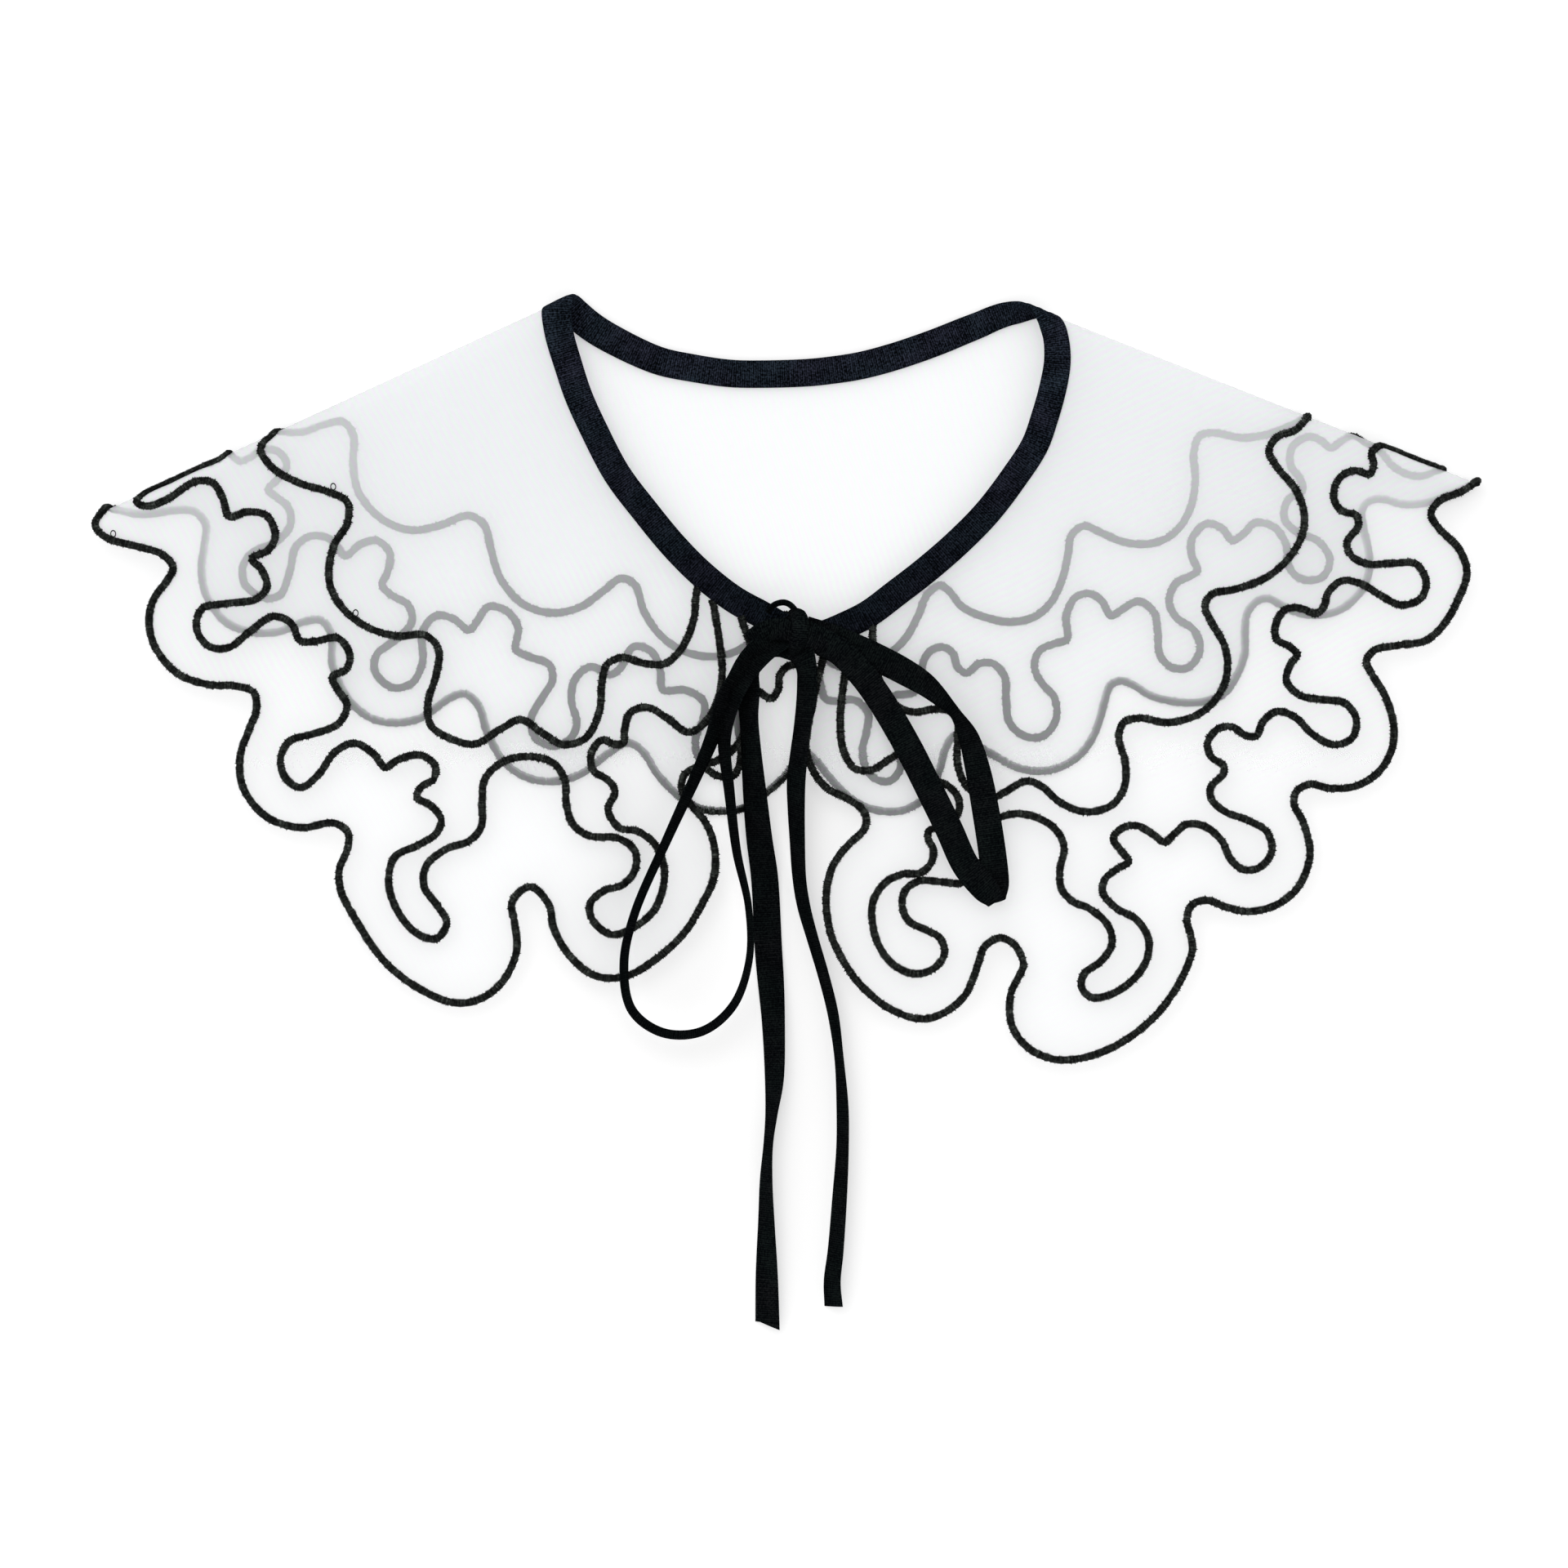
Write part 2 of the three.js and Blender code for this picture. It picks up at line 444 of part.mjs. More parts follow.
function sweep(section, stations, lift = 0) {
  const steps = stations.length - 1;
  const extrudePath = new GuidedPath(stations, lift);
  return new THREE.ExtrudeGeometry(section, { steps, extrudePath, curveSegments: 1 });
}

// A closed geometry as a solid that can be joined and cut, and back again
function toSolid(geometry) {
  const bare = geometry.clone();
  bare.deleteAttribute('normal');
  bare.deleteAttribute('uv');
  const merged = mergeVertices(bare, 1e-4);
  const vertProperties = new Float32Array(merged.attributes.position.array);
  const triVerts = new Uint32Array(merged.index.array);
  return new wasm.Manifold(new wasm.Mesh({ numProp: 3, vertProperties, triVerts }));
}

function toGeometry(solid) {
  const { vertProperties, triVerts } = solid.getMesh();
  const geometry = new THREE.BufferGeometry();
  geometry.setAttribute('position', new THREE.BufferAttribute(new Float32Array(vertProperties), 3));
  geometry.setIndex(new THREE.BufferAttribute(new Uint32Array(triVerts), 1));
  geometry.computeVertexNormals();
  return geometry;
}

// A prism over a plan outline, between two heights
function prism(corners, low, high) {
  const shape = new THREE.Shape(corners);
  const geometry = new THREE.ExtrudeGeometry(shape, { depth: high - low, bevelEnabled: false });
  return toSolid(geometry.translate(0, 0, low));
}

// Cross section of the folded cloth, extruded along one shoulder fold
function foldedShell(fold) {
  const half = clothWall / 2;
  const fallen = foldRadius + fallLength;
  const frontLow = backMiddle + openGap;
  const frontHigh = foldMiddle + foldRadius;
  const far = 2 * reach;
  const shape = new THREE.Shape();
  shape.moveTo(far, backMiddle - half);
  shape.lineTo(foldRadius, backMiddle - half);
  shape.absarc(foldRadius, foldMiddle, foldRadius + half, -Math.PI / 2, Math.PI / 2, true);
  shape.lineTo(fallen, frontLow + half);
  shape.lineTo(far, frontLow + half);
  shape.lineTo(far, frontLow - half);
  shape.lineTo(fallen, frontLow - half);
  shape.lineTo(foldRadius, frontHigh - half);
  shape.absarc(foldRadius, foldMiddle, foldRadius - half, Math.PI / 2, -Math.PI / 2, false);
  shape.lineTo(far, backMiddle + half);
  const settings = { depth: 2 * far, bevelEnabled: false, curveSegments: foldSegments };
  const geometry = new THREE.ExtrudeGeometry(shape, settings).translate(0, 0, -far);
  const inward = new THREE.Vector3(-fold.out.x, -fold.out.y, 0);
  const up = new THREE.Vector3(0, 0, 1);
  const turn = new THREE.Matrix4().makeBasis(inward, up, inward.clone().cross(up));
  turn.setPosition(fold.start.x, fold.start.y, 0);
  return toSolid(geometry.applyMatrix4(turn));
}

// Plan places beside a run of stations
function beside(stations, distance) {
  return stations.map(({ point, side }) => {
    const spot = point.clone().addScaledVector(side, distance);
    return new THREE.Vector2(spot.x, spot.y);
  });
}

function beyond(spot, fold) {
  return spot.clone().addScaledVector(fold.out, 2 * foldGap);
}

function cutOrganza(hem, neck, rooms) {
  const hemInset = hemRadius + gap;
  const neckInset = tapeWidth / 2 - tapeWall - gap;
  const hemLine = (part) => beside(hem.filter((spot) => spot.part === part), hemInset);
  const neckLine = (part) => beside(neck.filter((spot) => spot.part === part), neckInset);
  const shared = (lineOf, from, to) => [lineOf(from).at(-1), ...lineOf(to)];
  const hemBack = shared(hemLine, 'leftFront', 'back');
  const neckBack = shared(neckLine, 'leftFront', 'back');
  const hemRight = [hemBack.at(-1), ...hemLine('rightFront')];
  const neckRight = [neckBack.at(-1), ...neckLine('rightFront')];
  const hemLeft = hemLine('leftFront');
  const neckLeft = neckLine('leftFront');
  const closeLeft = [beyond(hemLeft.at(-1), leftFold), beyond(neckLeft.at(-1), leftFold)];
  const closeRight = [beyond(neckRight[0], rightFold), beyond(hemRight[0], rightFold)];
  const overlap = gap / 2;
  const top = foldMiddle + 2 * foldGap;
  const middle = foldMiddle;
  const frontLeft = prism([...hemLeft, ...closeLeft, ...neckLeft.toReversed()], middle - overlap, top);
  const frontRight = prism([...neckRight, ...hemRight.toReversed(), ...closeRight.toReversed()],
    middle - overlap, top);
  const backPlan = [...closeLeft.toReversed(), ...hemBack, ...closeRight.toReversed(), ...neckBack.toReversed()];
  const back = prism(backPlan, -foldGap, middle + overlap);
  const half = (side) => {
    const box = new THREE.BoxGeometry(2 * reach, 4 * reach, 8 * foldGap);
    return toSolid(box.translate(side * (reach - tapeWidth), 0, 0));
  };
  const left = foldedShell(leftFold).intersect(frontLeft.add(back.intersect(half(-1))));
  const right = foldedShell(rightFold).intersect(frontRight.add(back.intersect(half(1))));
  const cut = rooms.reduce((cloth, room) => cloth.subtract(room), left.add(right));
  // Crumbs cut off beside the neck tape are left out
  return cut.decompose().reduce((main, part) => (part.volume() > main.volume() ? part : main));
}

// The section of the neck tape, open towards the cloth. room widens it all round.
function bindingSection(room) {
  const half = tapeWidth / 2 + room;
  const outer = clothWall / 2 + gap + tapeWall + room;
  const inner = clothWall / 2 + gap - 0.95 * room;
  const web = tapeWidth / 2 - tapeWall - room;
  return outline([
    [outer, half], [-outer, half], [-outer, -half], [-inner, -half],
    [-inner, web], [inner, web], [inner, -half], [outer, -half],
  ]);
}

// A cord stitched on the cloth is a low ridge. room widens it all round.
function stitchedCord(route, room = 0) {
  const half = lineWidth / 2 + room;
  const section = outline([[-room, -half], [lineHeight + room, 0], [-room, half]]);
  const stations = withFrames(thinRoute(wholeRoute(route), cordTurn, cordStride));
  return sweep(section, stations, clothWall / 2 + gap);
}

// The cord along the hem, flat where it rests
function hemOutline(radius) {
  return outline([
    [radius, 0], [radius * 0.31, radius * 0.95], [-radius * 0.81, radius * 0.59],
    [-radius * 0.81, -radius * 0.59], [radius * 0.31, -radius * 0.95],
  ]);
}

// A strip of tape through its rows, with its width turned and leaned as they say
function ribbonStations(rows, width, wall, slant = 0) {
  const table = rows.map((row) => Object.fromEntries(ribbonColumns.map((name, i) => [name, row[i]])));
  const spots = table.map(({ x, y, on, lift, lean }) => {
    const tipped = THREE.MathUtils.degToRad(lean);
    const halfHigh = (width / 2) * Math.sin(tipped) + (wall / 2) * Math.cos(tipped);
    return new THREE.Vector3(x * unit, y * unit, on * bowRest + halfHigh + lift * tapeWidth);
  });
  const curve = new THREE.CatmullRomCurve3(spots, false, 'centripetal');
  const count = (rows.length - 1) * ribbonSteps;
  return Array.from({ length: count + 1 }, (_, i) => {
    const place = (i / count) * (rows.length - 1);
    const row = Math.min(Math.floor(place), rows.length - 2);
    const between = (name) => THREE.MathUtils.lerp(table[row][name], table[row + 1][name], place - row);
    const across = THREE.MathUtils.degToRad(between('across'));
    const lean = THREE.MathUtils.degToRad(between('lean'));
    const wide = new THREE.Vector3(Math.cos(across), Math.sin(across), 0).multiplyScalar(Math.cos(lean));
    wide.z = Math.sin(lean);
    const tangent = curve.getTangent(i / count);
    const normal = wide.addScaledVector(tangent, -wide.dot(tangent)).normalize();
    const side = tangent.clone().cross(normal);
    if (i === count) normal.addScaledVector(tangent, -slant);
    return { point: curve.getPoint(i / count), tangent, normal, side };
  });
}

function ribbon(rows, width = tapeWidth, wall = tieWall, slant = 0) {
  const section = outline([
    [-width / 2, -wall / 2], [width / 2, -wall / 2], [width / 2, wall / 2], [-width / 2, wall / 2],
  ]);
  return toSolid(sweep(section, ribbonStations(rows, width, wall, slant)));
}

// The knot is a plump pad of tape. room makes it larger all round.
function knot(room) {
  const bevel = knotHeight / 4;
  const long = knotLength / 2 - bevel;
  const broad = knotBreadth / 2 - bevel;
  const corner = Math.min(long, broad) * 0.7;
  const shape = new THREE.Shape();
  shape.absarc(long - corner, broad - corner, corner, 0, Math.PI / 2);
  shape.absarc(corner - long, broad - corner, corner, Math.PI / 2, Math.PI);
  shape.absarc(corner - long, corner - broad, corner, Math.PI, Math.PI * 1.5);
  shape.absarc(long - corner, corner - broad, corner, Math.PI * 1.5, Math.PI * 2);
  const geometry = new THREE.ExtrudeGeometry(shape, {
    depth: knotHeight - 2 * bevel,
    curveSegments: 4,
    bevelThickness: bevel + room,
    bevelSize: bevel + room,
    bevelSegments: 3,
  });
  const low = frontTop - clothWall + bevel;
  geometry.translate(0, 0, low).rotateZ(knotPlace.turn);
  return toSolid(geometry.translate(knotPlace.x * unit, knotPlace.y * unit, 0));
}

const organza = new THREE.MeshStandardMaterial({ color: 0xf0f3f3, roughness: 0.5, metalness: 0 });
const stitchedBlack = new THREE.MeshStandardMaterial({ color: 0x151716, roughness: 0.6, metalness: 0 });
const tapeBlack = new THREE.MeshStandardMaterial({ color: 0x0b0d11, roughness: 0.78, metalness: 0 });

function piece(name, geometry, material) {
  const mesh = new THREE.Mesh(geometry, material.clone());
  mesh.name = name;
  return mesh;
}

function collar() {
  const hem = withFrames(thinRoute(wholeRoute(edgeRoute), cordTurn, cordStride));
  const neck = withFrames(thinRoute(wholeRoute(neckRoute), tapeTurn, tapeStride));
  const knotRoom = knot(gap);
  const binding = toSolid(sweep(bindingSection(0), neck)).subtract(knotRoom);
  const bindingRoom = toSolid(sweep(bindingSection(gap), neck));
  const hemLift = backMiddle - hemRadius;
  const nudges = [[1, 0, 0], [-1, 0, 0], [0, 1, 0], [0, -1, 0], [0, 0, 1], [0, 0, -1]];
  const rooms = [
    bindingRoom,
    ...nudges.map((way) => binding.translate(way.map((step) => step * 0.8 * gap))),
    knotRoom,
    toSolid(sweep(hemOutline(hemRadius + gap), hem, hemLift)),
    toSolid(stitchedCord(meanderRoute, 0.7 * gap)),
    toSolid(stitchedCord(innerRoute, 0.7 * gap)),
  ];
  const group = new THREE.Group();
  const add = (name, geometry, material) => group.add(piece(name, geometry, material));
  add('organza_panel', toGeometry(cutOrganza(hem, neck, rooms)), organza);
  add('edge_cord', sweep(hemOutline(hemRadius), hem, hemLift), stitchedBlack);
  add('meander_cord', stitchedCord(meanderRoute), stitchedBlack);
  add('inner_cord', stitchedCord(innerRoute), stitchedBlack);
  add('neck_binding', toGeometry(binding), tapeBlack);
  add('bow_knot', toGeometry(knot(0)), tapeBlack);
  add('knot_turn', toGeometry(ribbon(turnRows, turnWidth).subtract(knotRoom)), tapeBlack);
  add('left_loop', toGeometry(ribbon(leftLoopRows).subtract(knotRoom)), tapeBlack);
  add('right_loop', toGeometry(ribbon(rightLoopRows).subtract(knotRoom)), tapeBlack);
  const cutTail = ribbon(leftTailRows, tapeWidth, tieWall, -tailSlant);
  add('left_tail', toGeometry(cutTail.subtract(knotRoom)), tapeBlack);
  add('right_tail', toGeometry(ribbon(rightTailRows).subtract(knotRoom)), tapeBlack);
  const box = new THREE.Box3().setFromObject(group);
  group.position.set(-(box.min.x + box.max.x) / 2, -(box.min.y + box.max.y) / 2, -box.min.z);
  return group;
}

export default collar();
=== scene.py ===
"""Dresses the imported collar: sheer organza folded over at both shoulders, embroidered cords, a
ribbed tape round the neckline and a soft tape bow. Metres, in the frame of the solids, +Z up."""

import math

import bpy
import numpy as np
from bpy.props import FloatProperty, FloatVectorProperty, PointerProperty
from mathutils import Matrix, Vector
from mathutils.geometry import delaunay_2d_cdt
from mathutils.kdtree import KDTree


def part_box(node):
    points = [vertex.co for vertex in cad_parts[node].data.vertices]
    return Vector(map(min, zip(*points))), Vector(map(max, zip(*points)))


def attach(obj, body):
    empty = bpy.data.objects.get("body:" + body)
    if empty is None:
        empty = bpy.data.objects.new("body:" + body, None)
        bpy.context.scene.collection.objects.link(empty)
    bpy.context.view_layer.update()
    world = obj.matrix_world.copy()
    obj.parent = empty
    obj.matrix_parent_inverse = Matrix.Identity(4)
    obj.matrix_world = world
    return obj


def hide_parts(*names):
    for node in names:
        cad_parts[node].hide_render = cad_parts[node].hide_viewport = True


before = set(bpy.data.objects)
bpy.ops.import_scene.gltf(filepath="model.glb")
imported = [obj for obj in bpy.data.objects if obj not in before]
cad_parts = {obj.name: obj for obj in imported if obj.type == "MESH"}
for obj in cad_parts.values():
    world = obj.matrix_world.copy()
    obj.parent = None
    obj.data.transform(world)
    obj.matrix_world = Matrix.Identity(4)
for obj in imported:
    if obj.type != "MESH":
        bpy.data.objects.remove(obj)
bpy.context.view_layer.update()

bl_info = {
    "name": "Organza collar",
    "version": (1, 0, 0),
    "blender": (4, 5, 0),
    "location": "View3D > Sidebar > Collar",
    "description": "Sheer shoulder collar with embroidered cords and a ribbed tape bow",
    "category": "Object",
}

# Driving dimensions, as in the solids
MM = 0.001
SPAN = 500 * MM
CLOTH_WALL = 1 * MM
FOLD_GAP = 9 * MM
OPEN_GAP = 5.8 * MM
FALL_LENGTH = 110 * MM
HEM_CORD = 2.8 * MM
LINE_WIDTH = 2.8 * MM
LINE_HEIGHT = 1.5 * MM
TAPE_WIDTH = 10 * MM
CLEARANCE = 0.3 * MM

# Sizes that only the dressed piece has
TAPE_LEAF = 0.5 * MM
BAND_LEAF = 0.8 * MM
TURN_WIDTH = 4 * MM
TAIL_SLANT = -0.34
TIP_PINCH = 0.3
TIP_REACH = 8  # in thousandths of the span
LINE_UNDER = 0.45 * MM
WRAP_SPREAD = 1.14
WRAP_VALLEY = 0.8
WRAP_UNEVEN = 0.035
WRAP_RAGGED = 0.1
END_LENGTH = 3 * MM
END_HEIGHT = 0.4
FIBRE_HALF = 0.07 * MM
LOOP_RADIUS = 0.9 * MM
KNOT_PAD = (14 * MM, 11.5 * MM, 8.4 * MM)
KNOT_ASKEW = math.radians(-24)
WEAVE_PITCH = 0.9 * MM
NEAR_FOLD = 8.6 * MM
FOLD_RISE = 2.4 * MM
NEAR_NECK = 70 * MM
FLOOR_SIZE = 24.0
FLOOR_DROP = 0.05 * MM
LAMP_PLACE = (-0.5, 0.9, 2.4)
LAMP_SIZE = 2.2

# Spacing of the meshes
CLOTH_GRID = 3.6 * MM
EDGE_STEP = 2.4 * MM
EDGE_CLEAR = 1.3 * MM
ROLL_ROWS = 9
ROLL_MARGIN = 0.3
NECK_STEP = 1.2 * MM
STRIP_STEP = 1.0 * MM
KNOT_STEP = 0.6 * MM

# The photograph: pixels across, pixels to a thousandth of the span, pixel over the origin
PHOTO_SIDE = 1920
PHOTO_SCALE = 1.693
PHOTO_ORIGIN = (961.5, 991.5)

UNIT = SPAN / 1000
HEM_RADIUS = HEM_CORD / 2
BACK_MIDDLE = LINE_HEIGHT + 1.35 * CLEARANCE + CLOTH_WALL / 2
ROLL = FOLD_GAP / 2
ROLL_MIDDLE = BACK_MIDDLE + ROLL
FRONT_TOP = BACK_MIDDLE + OPEN_GAP + CLOTH_WALL / 2
BOW_REST = FRONT_TOP + 3 * CLEARANCE + LINE_HEIGHT

# Routes of the stitched cords and the neck tape, (x, y) in thousandths of the span. Each front
# list runs from the neckline to the shoulder fold, each back list from left fold to right fold.
HEM_ROUTE = {
    "left_front": [
        (-32, 140), (-30, 133), (-25, 118), (-25, 92), (-27, 68), (-33, 49), (-48, 36),
        (-62, 31.5), (-73, 25), (-74.5, 14), (-67, 2.5), (-57, -10), (-51, -28), (-51.5, -49),
        (-60, -68), (-73, -89), (-95, -109), (-116, -120.5), (-138, -119.5), (-156, -105),
        (-167, -86), (-171, -68), (-184, -55.5), (-197, -66), (-195, -84), (-194, -102),
        (-204, -124), (-220, -136.5), (-238, -139.5), (-262, -130.5), (-289, -110), (-311, -78),
        (-321, -58), (-322, -43), (-316, -28), (-316, -16), (-327, -9.5), (-349, -13),
        (-374, -5.5), (-391, 15), (-393.5, 38), (-387, 58), (-381.5, 73), (-384, 85), (-398, 89.5),
        (-414, 90), (-438, 98), (-455, 118), (-459, 138), (-455, 153), (-446, 165), (-441.5, 175),
        (-450, 184.5), (-470, 190.5), (-489, 196), (-497.5, 205), (-490, 216.9),
    ],
    "back": [
        (-490, 216.9), (-479, 215.5), (-462, 214), (-442, 217), (-428, 216), (-420, 207),
        (-421, 191), (-423, 175), (-419, 154), (-404, 135), (-385, 128.5), (-367, 129),
        (-348, 136.5), (-336, 137), (-329, 127), (-328, 105), (-315, 78), (-298, 65.5), (-281, 63),
        (-263, 67), (-243, 81), (-232, 84), (-222, 75), (-216, 56), (-203, 34), (-186, 23),
        (-167, 20.5), (-148, 26), (-128, 41), (-114, 48.5), (-104, 43), (-92, 25), (-76, 9),
        (-60, 0.5), (-46, -1), (-31, 1), (-14, 12), (1, 26), (8, 37), (15, 41), (22, 36), (31, 25),
        (43, 12), (55, 3.5), (70, -1), (85, -0.5), (98, 6), (106, 15), (112, 29), (116, 44),
        (123, 54), (131, 54), (141, 45.5), (153, 38.5), (167, 31), (181, 28), (197, 30),
        (212, 38.5), (222, 51), (228, 66), (231.5, 79), (235.5, 90), (243, 93.3), (252, 90.5),
        (264, 83), (278, 79), (292, 77.5), (306, 79), (318, 84), (327, 97), (333, 114), (333, 130),
        (335, 143), (342, 151), (350, 153), (360, 148), (372, 142.5), (388, 141), (404, 146),
        (417, 158), (423, 172), (423, 186), (419, 204), (418, 217), (423, 223.5), (433, 225),
        (447, 221.5), (465, 222.5), (484, 229), (500, 236),
    ],
    "right_front": [
        (30, 122), (27.5, 110), (23, 92), (19, 73), (16, 57), (15, 45), (18, 33), (24, 22),
        (31.5, 14.6), (41, 10), (49, 5.5), (55, 1), (58.5, -6), (57, -14), (47, -24), (39, -33),
        (33, -44), (29.5, -62), (30.5, -78), (34, -93), (47.5, -118), (60, -132), (76, -144),
        (97.5, -151), (113, -147.5), (129, -135), (136, -121), (140, -109), (144, -99),
        (155, -92.5), (166, -98), (172, -112), (168.5, -121), (163.5, -131), (162, -145),
        (165, -159), (177, -173), (195, -180.3), (217, -178.7), (242, -168.5), (266, -150),
        (284, -126), (294, -101), (292.5, -90), (290, -79), (293.5, -69), (304, -65.3),
        (319, -70.5), (335, -73.5), (355, -68.5), (371, -55), (379, -32), (374, -9), (367.5, 4),
        (369, 13), (379, 18.5), (393, 15.5), (411.5, 17), (427, 26), (437, 41), (439.3, 60),
        (433, 82), (424, 97), (419.5, 107), (425, 115), (443, 118.8), (462, 122), (475, 133.5),
        (486, 153), (491.7, 171), (486, 188), (471, 203.5), (465.7, 213.5), (472, 223),
        (486, 228.8), (500, 236),
    ],
}
